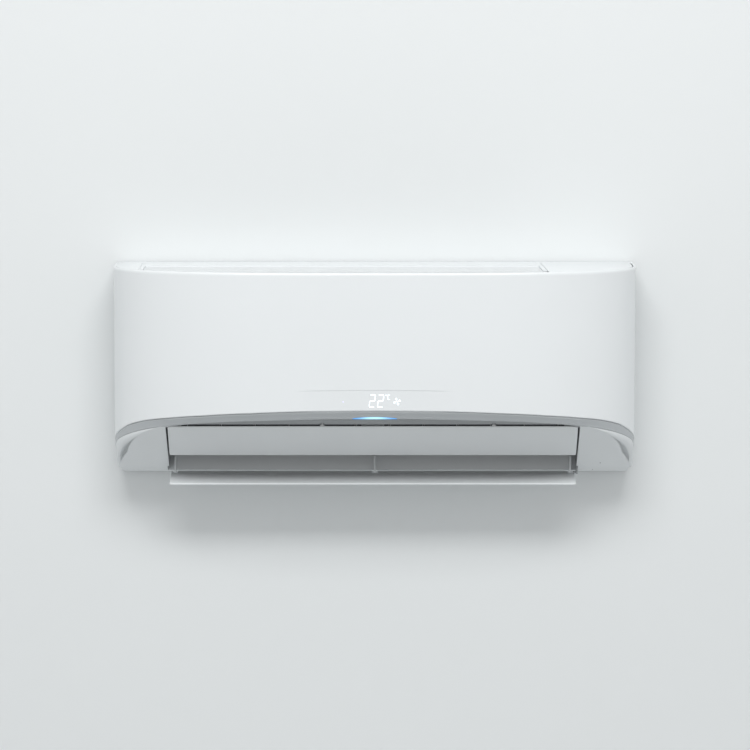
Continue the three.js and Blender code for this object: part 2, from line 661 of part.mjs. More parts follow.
function topCoverRight() {
  const rear = cabinet.railDepth + gap;
  const plan = prismZ(planOutline(coverOuter[0] + gap, coverOuter[1], rear), top - cabinet.topPlate, top);
  const skewed = prismZ([[intakeRight(rear) + gap, rear], [intakeRight(body.depth) + gap, body.depth],
    [halfWidth, body.depth], [halfWidth, rear]], 0, far);
  return plan.intersect(skewed);
}

function lowerTrim() {
  const { topInset, sideInset, frontInset, thickness } = trim;
  const upper = stripOutline([topInset, topInset], [topInset + thickness, topInset + thickness]);
  const lower = stripOutline([sideInset, frontInset], [sideInset + thickness, frontInset + thickness]);
  const lowerRing = lower.map(([x, depth]) => [x, depth, trimEdge(depth)]);
  const upperRing = upper.map(([x, depth]) => [x, depth, panelEdge(depth) - trim.gap]);
  const band = loft([lowerRing, upperRing]);
  const depth = body.depth - frontInset;
  const notch = block([-lightBar.halfLength - gap, lightBar.halfLength + gap],
    [depth - lightBar.depth - gap, depth + lightBar.depth],
    [trimEdge(depth) - 3, trimEdge(depth) + lightBar.height + gap]);
  return cut(band, notch);
}

function ledLightBar() {
  const depth = body.depth - trim.frontInset;
  const low = trimEdge(depth) - 0.4;
  const view = [[depth - lightBar.depth, low], [depth - 0.5, low], [depth + 3.6, low + lightBar.height],
    [depth - lightBar.depth, low + lightBar.height]];
  return prismX(view, -lightBar.halfLength, lightBar.halfLength);
}

function endCapAt(side) {
  const edge = side < 0 ? -opening.left + gap : opening.right + gap;
  const span = mirrored([edge, halfWidth], side);
  const besideDuct = block(mirrored([0, edge + wall], side), [-1, endCap.lipFrom], [-1, far]);
  const solidCap = (inset, lift) => prismZ(
    planOutline(trim.sideInset + inset, trim.frontInset + inset, cabinet.rear + inset), -1, far)
    .intersect(aboveUnderside(lift)).intersect(lowerFrontView(inset));
  const aboveTrim = prismX([[-far, trimEdge(-far) - endCap.seam], [far, trimEdge(far) - endCap.seam],
    [far, 2 * far], [-far, 2 * far]], -far - halfWidth, far + halfWidth);
  const shell = cut(solidCap(0, 0), solidCap(wall, wall), aboveTrim);
  return cut(shell.intersect(block(span, [0, far], [-1, far])), besideDuct);
}

// ---------------------------------------------------------------------------------------------------
// Outlet: duct, drain pan, flaps and vanes
// ---------------------------------------------------------------------------------------------------

const upperPivot = underPoint(flap.edgeGap + upperFlap.pivotAlong, upperFlap.pivotIn);
const lowerPivot = [lowerFlap.pivotDepth, lowerFlap.pivotHeight];

const nose = [fan.depth + fan.radius + 0.6, drain.low - 2];
const recessEdge = underPoint(-6, 0.4);
const roofHeight = cradleLow - gap - wall;

/** Side view of the duct's front wall: a nose at the fan, then down to the recess behind the trim. */
function ductFrontView() {
  const shelfDepth = body.depth - trim.frontInset - trim.thickness - 1;
  const shelfHeight = trimEdge(shelfDepth) + 0.6;
  const [pivotDepth, pivotHeight] = upperPivot;
  const [edgeDepth, edgeHeight] = recessEdge;
  const shoulder = Math.max(pivotDepth - 9, nose[0] + 7);
  return [nose, [nose[0] + 4, nose[1] - 6.5], [shoulder, nose[1] - 12],
    [pivotDepth + 2, pivotHeight + 10], [edgeDepth + 0.4, edgeHeight + 5], recessEdge,
    [shelfDepth, shelfHeight], [shelfDepth, shelfHeight + wall], [edgeDepth + 4, edgeHeight + 5],
    [edgeDepth + 2.9, edgeHeight + 6.4], [pivotDepth + 3, pivotHeight + 12.6],
    [shoulder + 1, nose[1] - 9.4], [nose[0] + 6, nose[1] - 4.3], [nose[0] + 2.4, nose[1] + 1]];
}

/** Side view of one side wall, which fills the duct from the rear guide to the recess. */
function ductSideView(high) {
  const [pivotDepth, pivotHeight] = upperPivot;
  const [edgeDepth, edgeHeight] = recessEdge;
  const lift = wall + gap;
  const noseHeight = Math.min(high, nose[1]);
  return [[guideFace(high) + gap, high], [guideFace(guide.low) + 0.5, guide.low],
    [guide.depth + 3.5, guide.foot + 0.4], [guide.depth + 7.5, guide.toe + 0.5],
    [opening.rearDepth + 0.5, 7.2], ...underRound(lift, 0.34, slope).slice(1), underPoint(2, lift),
    [edgeDepth - 1, edgeHeight + lift - 0.4], [edgeDepth + 0.4, edgeHeight + 5],
    [pivotDepth + 2, pivotHeight + 11], [pivotDepth - 9, noseHeight - 1], [nose[0] + 1, noseHeight]];
}

/** The ear under the right wall that carries the lower flap's drive pin. */
function flapEar() {
  const [depth, height] = lowerPivot;
  const view = [[depth - 4.8, height + 12], [depth - 4.8, height], [depth - 3, height - 3.8],
    [depth, height - 5], [depth + 3.6, height - 3.6], [depth + 5, height], [depth + 13, height + 13],
    [depth + 6, height + 16]];
  return prismX(view, opening.right, opening.right + wall);
}

function outletDuct() {
  const inset = trim.thickness + 1;
  const plan = prismZ(planOutline(trim.sideInset + inset, trim.frontInset + inset, 0), 0, far);
  const front = prismX(ductFrontView(), opening.left, opening.right);
  const leftWall = prismX(ductSideView(nose[1]), opening.left - wall, opening.left);
  const rightWall = prismX(ductSideView(roofHeight + wall), opening.right, opening.right + wall);
  const roof = block([fanSpan.right + 4, opening.right + wall], [guideFace(roofHeight) + gap, nose[0] + 6],
    [roofHeight, roofHeight + wall]);
  const bores = [upperPivot, lowerPivot].map((pivot) => rodX(-far, far, ...pivot, flap.boreRadius, 20));
  const screwBores = screw.places.map((x) => rodZ(x, screw.depth, 0, far, screw.bore, 12));
  const whole = join(front, leftWall, rightWall, roof, flapEar()).intersect(plan);
  return cut(whole, ...bores, ...screwBores);
}

/** A screw that holds the cabinet's lower edge to the outlet duct, seen from below behind the trim. */
function cabinetScrew(x) {
  const front = body.depth - trim.frontInset;
  const rise = (trimEdge(front) - recessEdge[1]) / (front - recessEdge[0]);
  const seat = recessEdge[1] + rise * (screw.depth - recessEdge[0] - screw.headRadius) - gap;
  return join(rodZ(x, screw.depth, seat - 2, seat, screw.headRadius, 16),
    rodZ(x, screw.depth, seat - 1, seat + 10, screw.shankRadius, 12));
}

function drainPan() {
  const { low, high, rear, front, left, right } = drain;
  const outer = block([left, right], [rear, front], [low, high]);
  const inner = block([left + drain.wall, right - drain.wall], [rear + drain.wall, front - drain.wall],
    [low + drain.wall, high + 1]);
  const ends = [[left - spout.length, left + 1], [right - 1, right + spout.length]];
  const spouts = ends.map((span) => rodX(...span, spout.depth, spout.height, spout.radius));
  const bore = rodX(left - spout.length - 1, right + spout.length + 1, spout.depth, spout.height, spout.bore);
  return cut(join(cut(outer, inner), ...spouts), bore);
}

function drainPlug() {
  const tip = drain.left - spout.length;
  return join(rodX(tip - 3, tip - gap, spout.depth, spout.height, spout.radius + 1),
    rodX(tip - 1, tip + 8, spout.depth, spout.height, spout.bore - gap));
}

/** Upper flap, drawn closed: a thin blade with a lug and a pin at each end. */
function upperFlapBlade() {
  const { chord, thick, thin, lugRadius, lugWidth } = upperFlap;
  const start = flap.edgeGap;
  const view = [[start, 0.9], [start + 1, 0], [start + chord - 1, 0], [start + chord, 1],
    [start + chord - 0.6, thin], [start + chord * 0.7, mix(thin, thick, 0.5)], [start + chord * 0.35, thick],
    [start + 12, thick], [start + 4, thick - 1.4], [start, 1.8]].map(
    ([along, inward]) => underPoint(along, inward));
  const left = opening.left + flap.endGap;
  const right = opening.right - flap.endGap;
  const reach = wall + flap.endGap - 0.5;
  const lugs = [[left, left + lugWidth], [right - lugWidth, right]].map(
    (span) => rodX(...span, ...upperPivot, lugRadius));
  const pins = rodX(left - reach, right + reach, ...upperPivot, flap.pinRadius)
    .subtract(block([left + lugWidth - 1, right - lugWidth + 1], [0, far], [0, far]));
  return join(prismX(view, left, right), ...lugs, pins);
}

/** Lower flap, drawn closed: a flat blade in line with the sloping underside, its nose round the pin. */
function lowerFlapBlade() {
  const { nose, tipDepth, thick, thin, notchDepth } = lowerFlap;
  const along = (depth) => (under.edgeDepth - depth) / Math.cos(slope);
  const pivotAlong = along(lowerPivot[0]);
  const tipAlong = along(tipDepth);
  const view = [[pivotAlong, 0], [tipAlong, 0], [tipAlong + 0.4, thin],
    [mix(pivotAlong, tipAlong, 0.35), thick], [pivotAlong, nose - 0.4]].map(
    ([distance, inward]) => underPoint(distance, inward));
  const left = opening.left + flap.endGap;
  const right = opening.right - flap.endGap;
  const blade = join(prismX(view, left, right), rodX(left, right, ...lowerPivot, nose, 24));
  const notches = hanger.places.map((place) => block(
    [place - hanger.notch / 2, place + hanger.notch / 2], [0, lowerPivot[0] + nose + notchDepth], [-10, 60]));
  const pins = hanger.places.map((place) => rodX(place - hanger.notch, Math.min(place + hanger.notch, right),
    ...lowerPivot, hanger.pinRadius, 16));
  const drivePin = rodX(right - 2, right + wall + flap.endGap - 0.5, ...lowerPivot, flap.pinRadius);
  return join(cut(blade, ...notches), ...pins, drivePin);
}

function vaneBlade(place) {
  const { thickness, rear, front, high, low, pivotHeight } = vane;
  const view = [[rear, high], [front, high], [front, high - 20], [front - 36, low], [rear + 4, low],
    [rear, low + 4]];
  const blade = prismX(view, place - thickness / 2, place + thickness / 2);
  const pivot = rodY(place, vanePin.seat, rear + 3, pivotHeight, vanePin.radius, 10);
  const driver = rodY(place, rear - link.thickness - 1.2, rear + 3, pivotHeight + link.rise,
    link.pinRadius, 8);
  return join(blade, pivot, driver);
}

function vaneLink(places) {
  const height = vane.pivotHeight + link.rise;
  const ends = [places[0] - 8, places[places.length - 1] + 8];
  const front = vane.rear - 1;
  const bar = block(ends, [front - link.thickness, front],
    [height - link.height / 2 - 1, height + link.height / 2]);
  const slotLow = height - link.slotBelow;
  const slots = places.map((place) => block([place - link.slotWidth / 2, place + link.slotWidth / 2],
    [front - link.thickness - 1, front + 1], [slotLow, slotLow + link.slotHeight]));
  return cut(bar, ...slots);
}

// ---------------------------------------------------------------------------------------------------
// Air path: fan, motor, evaporator, filters
// ---------------------------------------------------------------------------------------------------

/** A blade's section: a curved strip between the inner and outer radius, turned to its place. */
function bladeSection(turn) {
  const { innerRadius, radius, bladeThickness } = fan;
  const stations = [0, 0.5, 1].map((part) => {
    const r = innerRadius + (radius - 1 - innerRadius) * part;
    return [r, 0.28 * part * part];
  });
  const side = (offset) => stations.map(([r, lean]) => {
    const angle = turn + lean + offset / r;
    return [fan.depth + r * Math.cos(angle), fan.height + r * Math.sin(angle)];
  });
  return [...side(-bladeThickness / 2), ...side(bladeThickness / 2).reverse()];
}

function crossFlowFan() {
  const { left, right, discs, discThickness } = fanSpan;
  const blades = Array.from({ length: fan.blades }, (_, i) => prismX(
    bladeSection((2 * Math.PI * i) / fan.blades), left + 1, right - 1));
  const rings = Array.from({ length: discs }, (_, i) => {
    const x = left + ((right - left - discThickness) * i) / (discs - 1);
    const disc = rodX(x, x + discThickness, fan.depth, fan.height, fan.radius, 36);
    const isEnd = i === 0 || i === discs - 1;
    const hole = isEnd ? shaft.bore : fan.innerRadius - 3;
    return cut(disc, rodX(x - 1, x + discThickness + 1, fan.depth, fan.height, hole, 24));
  });
  const hubs = [[left, left + fanSpan.leftHub], [right - fanSpan.rightHub, right]].map(([x0, x1]) => cut(
    rodX(x0, x1, fan.depth, fan.height, fanSpan.hubRadius, 20),
    rodX(x0 - 1, x1 + 1, fan.depth, fan.height, shaft.bore, 16)));
  return join(...rings, ...blades, ...hubs);
}

function shaftRod(x0, x1) {
  return rodX(x0, x1, fan.depth, fan.height, shaft.radius);
}

function bearingBush() {
  const start = fanSpan.left - bearing.from;
  return cut(rodX(start, start + bearing.length, fan.depth, fan.height, bearing.radius),
    rodX(start - 1, start + bearing.length + 1, fan.depth, fan.height, shaft.bore));
}

function fanMotor() {
  const [x0, x1] = motorSpan;
  const can = rodX(x0, x1, fan.depth, fan.height, motor.radius, 40);
  const boss = rodX(x0 - motor.bossLength, x0 + 1, fan.depth, fan.height, motor.bossRadius);
  const bore = rodX(x0 - motor.bossLength - 1, x0 + 20, fan.depth, fan.height, shaft.bore);
  return cut(join(can, boss), bore);
}

/** A strap over the motor that closes the cradle of the rear chassis. */
function motorClamp() {
  const [x0, x1] = motorSpan;
  const ring = cut(rodX(x0 + 12, x1 - 12, fan.depth, fan.height, motor.radius + 3.4, 40),
    rodX(x0, x1, fan.depth, fan.height, motor.radius + gap, 40));
  const lowest = fan.height - 4;
  const earSpans = [[fan.depth + motor.radius + 1, fan.depth + motor.radius + 7],
    [guide.depth + gap, fan.depth - motor.radius - 1]];
  const ears = earSpans.map((depths) => block([x0 + 12, x1 - 12], depths, [lowest, lowest + 3]));
  return join(ring, ...ears).intersect(block([x0, x1], [0, far], [lowest, far]));
}

/** Corner points of a slab along a centre line in side view. */
function slab([depth0, height0], [depth1, height1], thickness) {
  const scale = thickness / (2 * Math.hypot(depth1 - depth0, height1 - height0));
  const across = [(height1 - height0) * scale, (depth0 - depth1) * scale];
  return [[depth0 + across[0], height0 + across[1]], [depth1 + across[0], height1 + across[1]],
    [depth1 - across[0], height1 - across[1]], [depth0 - across[0], height0 - across[1]]];
}

const apexHeight = top - coilShape.apexDrop;
const coilViews = {
  front: slab([coilShape.frontDepth + 12, coilShape.frontLow],
    [coilShape.frontDepth + 12, coilShape.shoulderHeight - 10], coil.thickness),
  upper: slab([coilShape.frontDepth + 13, coilShape.shoulderHeight],
    [coilShape.frontDepth - 40, apexHeight], coil.thickness),
  rear: slab([coilShape.frontDepth - 59, apexHeight - 8],
    [coilShape.rearDepth, coilShape.rearLow], coil.thickness),
};

/** A point on a slab's centre line, at a share of its length. */
function onSlab([a, b, c, d], part) {
  return [0, 1].map((axis) => ((a[axis] + d[axis]) * (1 - part) + (b[axis] + c[axis]) * part) / 2);
}

/** Tube centres on the three slabs, in pairs that a return bend joins. */
function tubePairs() {
  return Object.values(coilViews).flatMap((corners) => {
    const [a, b] = corners;
    const count = Math.floor(Math.hypot(b[0] - a[0], b[1] - a[1]) / coil.pairPitch);
    return Array.from({ length: count }, (_, i) => (
      [0.25, 0.75].map((share) => onSlab(corners, (i + share) / count))));
  });
}

/** An end plate with its return bends. On the right the last two tubes run on as the two pipes. */
function endPlate(side) {
  const inner = side < 0 ? coil.left - gap : coil.right + gap;
  const outer = inner + side * coil.plate;
  const span = [Math.min(inner, outer), Math.max(inner, outer)];
  const { frontDepth, shoulderHeight, frontLow, rearDepth, rearLow } = coilShape;
  const outline = [[frontDepth, frontLow], [frontDepth + 24, frontLow], [frontDepth + 25, shoulderHeight + 4],
    [frontDepth - 32, apexHeight + 10], [frontDepth - 62, apexHeight + 1], [rearDepth - 9, rearLow + 4],
    [rearDepth + 9, rearLow - 6], [frontDepth - 48, apexHeight - 30], [frontDepth - 40, apexHeight - 26],
    [frontDepth, shoulderHeight - 14]];
  const crown = inner + side * coil.bendReach;
  const pairs = side < 0 ? tubePairs() : tubePairs().slice(0, -1);
  const bends = pairs.map(([from, to]) => pipe(
    [[inner, ...from], [crown, ...from], [crown, ...to], [inner, ...to]],
    coil.tubeRadius, coil.bendRound, 3, 12));
  const beyond = side < 0 ? [-far - halfWidth, inner] : [inner, far + halfWidth];
  const outside = block(beyond, [-far, far], [-far, far]);
  return join(prismX(outline, ...span), ...bends.map((bend) => bend.intersect(outside)));
}

/** Centre line of a filter in side view, from its lower edge over the fin packs to the rear. */
const filterRoute = [
  [coilShape.frontDepth + 30, filterWindow.low + filter.lift],
  [coilShape.frontDepth + 32, coilShape.shoulderHeight + 4],
  [coilShape.frontDepth + 26, coilShape.shoulderHeight + 16], [coilShape.frontDepth - 22, apexHeight + 14],
  [coilShape.frontDepth - 34, apexHeight + 20], [coilShape.frontDepth - 90, apexHeight + 22]];

/** A band of even thickness around a route in side view. */
function bandView(route, thickness) {
  const offset = (sign) => route.map((point, i) => {
    const before = route[Math.max(i - 1, 0)];
    const after = route[Math.min(i + 1, route.length - 1)];
    const length = Math.hypot(after[0] - before[0], after[1] - before[1]);
    const across = [(after[1] - before[1]) / length, -(after[0] - before[0]) / length];
    return [point[0] + (sign * across[0] * thickness) / 2, point[1] + (sign * across[1] * thickness) / 2];
  });
  return [...offset(1), ...offset(-1).reverse()];
}

/** A filter: a frame with four columns of windows, and a thin net across them. */
function airFilter([left, right]) {
  const { net, rib, ribWidth, frame, columns, barHeights } = filter;
  const inside = block([left + 1, right - 1], [filterRoute[filterRoute.length - 1][0] + 1, far],
    [filterWindow.low + 1, far]);
  const pitch = (right - left - 2 * frame + ribWidth) / columns;
  const bars = [[0, filterWindow.low + 8], ...barHeights.map((low) => [low, low + ribWidth])];
  const windows = Array.from({ length: columns }, (_, i) => {
    const start = left + frame + pitch * i;
    return bars.map(([, barTop], row) => block([start, start + pitch - ribWidth],
      [coilShape.frontDepth - 84, far], [barTop, row + 1 < bars.length ? bars[row + 1][0] : far]));
  }).flat();
  const band = prismX(bandView(filterRoute, rib), left, right);
  return join(cut(band, ...windows), prismX(bandView(filterRoute, net), left, right).intersect(inside));
}

// ---------------------------------------------------------------------------------------------------
// Pipes and electrical parts
// ---------------------------------------------------------------------------------------------------

const pipeDepth = chassisBack + 8;

function refrigerantPipe({ radius, x, end, rise, tube }) {
  const start = onSlab(coilViews.rear, tube);
  const route = [[coil.right + coil.plate + 2 * gap, ...start], [x, ...start], [x, pipeDepth, rise],
    [end, pipeDepth, rise]];
  return pipe(route, radius, 18, 4, 40);
}

function flareNut({ radius, end, rise, nutRadius, nutLength }) {
  const nut = rodX(end - nutLength, end - gap, pipeDepth, rise, nutRadius, 6);
  const socket = rodX(end - nutLength - 1, end - nutLength / 2, pipeDepth, rise, radius * 0.8, 12);
  return cut(nut, socket);
}

function controlBox() {
  const { left, right, rear, front, low, topDrop } = control;
  const outer = block([left, right], [rear, front], [low, top - topDrop]);
  const inner = block([left + control.wall, right - control.wall], [rear + control.wall, far],
    [low + control.wall, top - topDrop - control.wall]);
  const foot = block([left, pipeSmall.x - control.footGap], [chassisBack + gap, rear + 1],
    [low + 30, low + 33]);
  return join(cut(outer, inner), foot);
}

const insideBox = {
  left: control.left + control.wall,
  right: control.right - control.wall,
  rear: control.rear + control.wall,
  low: control.low + control.wall,
};

function mainBoard() {
  const { left, right, rear, low } = insideBox;
  const board = block([left + gap, right - gap], [rear + gap + 4, rear + gap + 5.6],
    [low + gap, top - control.topDrop - 4]);
  const feet = [left + 12, right - 12].map((x) => rodY(x, rear + gap, rear + gap + 4.5, low + 50, 2.5, 12));
  const relay = block([left + 12, left + 30], [rear + 5, rear + 22], [low + 60, low + 76]);
  const coilCore = rodY(right - 24, rear + 5, rear + 22, low + 72, 9, 20);
  return join(board, ...feet, relay, coilCore);
}

function displayBoard() {
  const depth = body.depth - coverInner[1] + wall - 8;
  const board = block([display.left + 2, display.right - 2], [depth, depth + 1.6],
    [display.low + 0.5, display.high - 0.5]);
  const lensBack = body.depth - cabinet.frontInset - gap - display.lens;
  const digits = block([display.left + 15, display.right - 15], [depth + 1, lensBack - gap],
    [display.low + 2, display.high - 2]);
  return join(board, digits);
}

function displayLens() {
  const face = body.depth - cabinet.frontInset - gap;
  return block([display.left + gap, display.right - gap], [face - display.lens, face],
    [display.low + gap, display.high - gap]);
}

function airSensor() {
  const rear = coilShape.frontDepth + coil.thickness + gap;
  return block([sensor.x, sensor.x + sensor.width], [rear, rear + sensor.thick],
    [sensor.low, sensor.low + sensor.height]);
}

function manualButton() {
  return rodY(button.x, buttonFace - button.length, buttonFace, button.height, button.radius);
}

/** A stepping motor on the duct's right wall, with its shaft pointing at the wall. */
function flapMotor([depth, height]) {
  const start = opening.right + wall + gap;
  const flange = block([start, start + 2], [depth - stepper.radius - 4, depth + stepper.radius - 1],
    [height - 3, height + 3]);
  return join(rodX(start, start + stepper.length, depth, height, stepper.radius, 28), flange);
}

// ---------------------------------------------------------------------------------------------------
// Assembly
// ---------------------------------------------------------------------------------------------------

add('mounting_plate', mountingPlate(), steel());
add('rear_chassis', rearChassis(), satinWhite());
add('cabinet', cabinetShell(), satinWhite());
add('front_panel', frontPanel(), glossWhite());
add('top_grille', topGrille(), satinWhite());
add('top_cover_right', topCoverRight(), satinWhite());
add('lower_trim', lowerTrim(), trimGrey());
add('led_light_bar', ledLightBar(), material(0x9fe6ff, 0.2));
add('end_cap_left', endCapAt(-1), satinWhite());
add('end_cap_right', endCapAt(1), satinWhite());
add('outlet_duct', outletDuct(), innerGrey());
add('drain_pan', drainPan(), innerGrey());
add('drain_plug', drainPlug(), rubber());

addTurned('upper_flap', upperFlapBlade(), satinWhite(), upperPivot, upperFlap.restAngle);
addTurned('lower_flap', lowerFlapBlade(), satinWhite(), lowerPivot, lowerFlap.restAngle);
allVanes.forEach((place, i) => add(`vane_${String(i + 1).padStart(2, '0')}`, vaneBlade(place), fanGrey()));
add('vane_link_left', vaneLink(vanePlaces('left')), fanGrey());
add('vane_link_right', vaneLink(vanePlaces('right')), fanGrey());

add('cross_flow_fan', crossFlowFan(), fanGrey());
add('fan_shaft', shaftRod(fanSpan.left - bearing.from - 2, fanSpan.left + 20), steel());
add('bearing_bush', bearingBush(), rubber());
add('fan_motor', fanMotor(), steel());
add('motor_shaft', shaftRod(fanSpan.right - 24, motorSpan[0] + 19), steel());
add('motor_clamp', motorClamp(), innerGrey());

const finSpan = [coil.left, coil.right];
add('evaporator_front', prismX(coilViews.front, ...finSpan), aluminium());
add('evaporator_upper', prismX(coilViews.upper, ...finSpan), aluminium());
add('evaporator_rear', prismX(coilViews.rear, ...finSpan), aluminium());
add('coil_plate_left', endPlate(-1), copper());
add('coil_plate_right', endPlate(1), copper());
const filterEnd = filterWindow.post / 2 + filter.sideGap;
add('air_filter_left', airFilter([filterWindow.left + filter.sideGap, -filterEnd]), fanGrey());
add('air_filter_right', airFilter([filterEnd, filterWindow.right - filter.sideGap]), fanGrey());

add('suction_pipe', refrigerantPipe(pipeLarge), copper());
add('liquid_pipe', refrigerantPipe(pipeSmall), copper());
add('flare_nut_large', flareNut(pipeLarge), brass());
add('flare_nut_small', flareNut(pipeSmall), brass());

add('control_box', controlBox(), innerGrey());
add('control_cover', block([control.left, control.right], [control.front + gap, control.front + gap + 2],
  [control.low, top - control.topDrop]), steel());
add('main_board', mainBoard(), boardGreen());
add('display_board', displayBoard(), boardGreen());
add('display_lens', displayLens(), material(0xdfe8ea, 0.1));
add('manual_button', manualButton(), satinWhite());
const upperMotorPlace = upperPivot.map((place, i) => place + stepper.upperOffset[i]);
add('flap_motor_upper', flapMotor(upperMotorPlace), satinWhite());
add('flap_motor_lower', flapMotor(stepper.lowerPlace), satinWhite());
add('air_sensor', airSensor(), rubber());
add('cabinet_screw_left', cabinetScrew(screw.places[0]), steel());
add('cabinet_screw_right', cabinetScrew(screw.places[1]), steel());

export default unit;
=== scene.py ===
"""Fine surfaces and finishes for a wall-hung indoor air conditioner unit, around its CAD pieces.

Points are given in wall coordinates in millimetres: x to the right, depth out from the wall, and height
above the unit's underside. The function spot() turns them into the frame's metres.
"""

import logging
import math
from dataclasses import dataclass, field
from enum import Enum
from typing import Callable, Iterable, Sequence

import bmesh
import bpy
from mathutils import Matrix, Vector


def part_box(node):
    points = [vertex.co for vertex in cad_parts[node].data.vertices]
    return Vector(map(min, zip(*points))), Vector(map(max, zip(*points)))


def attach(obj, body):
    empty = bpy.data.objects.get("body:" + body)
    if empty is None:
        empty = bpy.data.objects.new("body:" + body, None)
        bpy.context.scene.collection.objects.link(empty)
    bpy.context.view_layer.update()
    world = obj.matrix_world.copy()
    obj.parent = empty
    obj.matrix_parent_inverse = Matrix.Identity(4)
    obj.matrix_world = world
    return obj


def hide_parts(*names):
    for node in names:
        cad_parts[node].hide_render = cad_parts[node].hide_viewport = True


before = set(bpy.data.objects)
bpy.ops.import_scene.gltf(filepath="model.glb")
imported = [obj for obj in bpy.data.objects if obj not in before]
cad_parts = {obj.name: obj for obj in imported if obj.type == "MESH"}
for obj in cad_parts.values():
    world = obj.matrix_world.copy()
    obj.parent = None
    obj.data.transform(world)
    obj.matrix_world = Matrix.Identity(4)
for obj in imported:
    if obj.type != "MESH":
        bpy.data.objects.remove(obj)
log = logging.getLogger("indoor_unit")

Colour = tuple[float, float, float]
Pair = tuple[float, float]
Place = tuple[float, float, float]
Ring = list[Vector]

# Lengths in metres, and turns of a surface in degrees above which an edge is rounded or stays sharp.
MM = 0.001
SAME_POINT = 1e-6
SAME_CAD_POINT = 2e-6
NO_LENGTH = 1e-7
PRISM_TURN = 30.0
CAD_TURN = 38.0
CAD_SHARP = 26.0
FLAT_TURN = 0.5

PLATE_CENTRE = 165.0
HOUSING = "housing"


def spot(x: float, depth: float, height: float) -> Vector:
    """A point of the frame, in metres, from wall coordinates in millimetres."""
    return Vector((x * MM, -depth * MM, (height - PLATE_CENTRE) * MM))


def blend(low: float, high: float, value: float) -> float:
    """How far a value is from low to high, from 0 to 1, with soft ends."""
    part = min(1.0, max(0.0, (value - low) / (high - low)))
    return part * part * (3.0 - 2.0 * part)


def mix(a: float, b: float, part: float) -> float:
    """The value at a share of the way from a to b."""
    return a + (b - a) * part


# ---------------------------------------------------------------------------
# Finishes
# ---------------------------------------------------------------------------


RELIEF_DEPTH = 0.0001
COAT_ROUGHNESS = 0.08
WEAR_TO_DRIFT = 4.0
LIT_ROUGHNESS = 0.25


def feed(tree: bpy.types.NodeTree, made: bpy.types.Node, sources: dict[str, object]) -> None:
    """Sets a node's named sockets, each to a value or to what another socket gives."""
    for name, source in sources.items():
        if isinstance(source, bpy.types.NodeSocket):
            tree.links.new(source, made.inputs[name])
        else:
            made.inputs[name].default_value = source


def node(tree: bpy.types.NodeTree, kind: str, **sources: object) -> bpy.types.Node:
    """Adds a shader node and sets its sockets.

    Args:
        tree: The nodes that get it.
        kind: Its type, without the word ShaderNode.
        **sources: For each socket, a value or the socket that feeds it.

    Returns:
        The node.
    """
    made = tree.nodes.new(f"ShaderNode{kind}")
    feed(tree, made, sources)
    return made


def noise(tree: bpy.types.NodeTree, place: bpy.types.NodeSocket, scale: float,
          detail: float) -> bpy.types.NodeSocket:
    """Adds a noise texture with a scale per metre and a count of finer layers, and gives its value."""
    return node(tree, "TexNoise", Scale=scale, Detail=detail, Vector=place).outputs["Fac"]


def ramp(tree: bpy.types.NodeTree, factor: bpy.types.NodeSocket,
         stops: Sequence[tuple[float, Sequence[float]]], ease: str = "LINEAR") -> bpy.types.NodeSocket:
    """Adds a colour ramp.

    Args:
        tree: The nodes that get it.
        factor: The socket that it reads.
        stops: Its places from 0 to 1, in order, each with a colour.
        ease: How it runs between them.

    Returns:
        The ramp's colour.
    """
    made = node(tree, "ValToRGB", Fac=factor)
    made.color_ramp.interpolation = ease
    for place, _ in stops[1:-1]:
        made.color_ramp.elements.new(place)
    for element, (place, colour) in zip(made.color_ramp.elements, stops):
        element.position = place
        element.color = (*colour, 1.0)
    return made.outputs["Color"]


def choose(tree: bpy.types.NodeTree, factor: bpy.types.NodeSocket, first: bpy.types.Node,
           second: bpy.types.Node, output: str) -> None:
    """Mixes two surfaces by a factor, and feeds the tree's output with them.

    Args:
        tree: The nodes that get it.
        factor: The socket that chooses, from the first (0) to the second (1).
        first: The first surface's node.
        second: The second surface's node.
        output: The output node's name.
    """
    choice = node(tree, "MixShader", Fac=factor)
    for place, source in ((1, first), (2, second)):
        tree.links.new(source.outputs[0], choice.inputs[place])
    tree.links.new(choice.outputs["Shader"], tree.nodes[output].inputs["Surface"])


def principled(name: str) -> tuple[bpy.types.Material, bpy.types.NodeTree, bpy.types.Node]:
    """Makes a material, and gives it with its nodes and its main shader."""
    made = bpy.data.materials.new(name)
    made.use_nodes = True
    return made, made.node_tree, made.node_tree.nodes["Principled BSDF"]


class Grain(Enum):
    """How the fine relief of a surface is stretched along x, y and z."""

    MOULDED = (1.0, 1.0, 1.0)
    BRUSHED = (0.04, 1.0, 1.0)
    ROLLED = (1.0, 1.0, 0.05)
    CAST = (0.35, 0.35, 0.35)


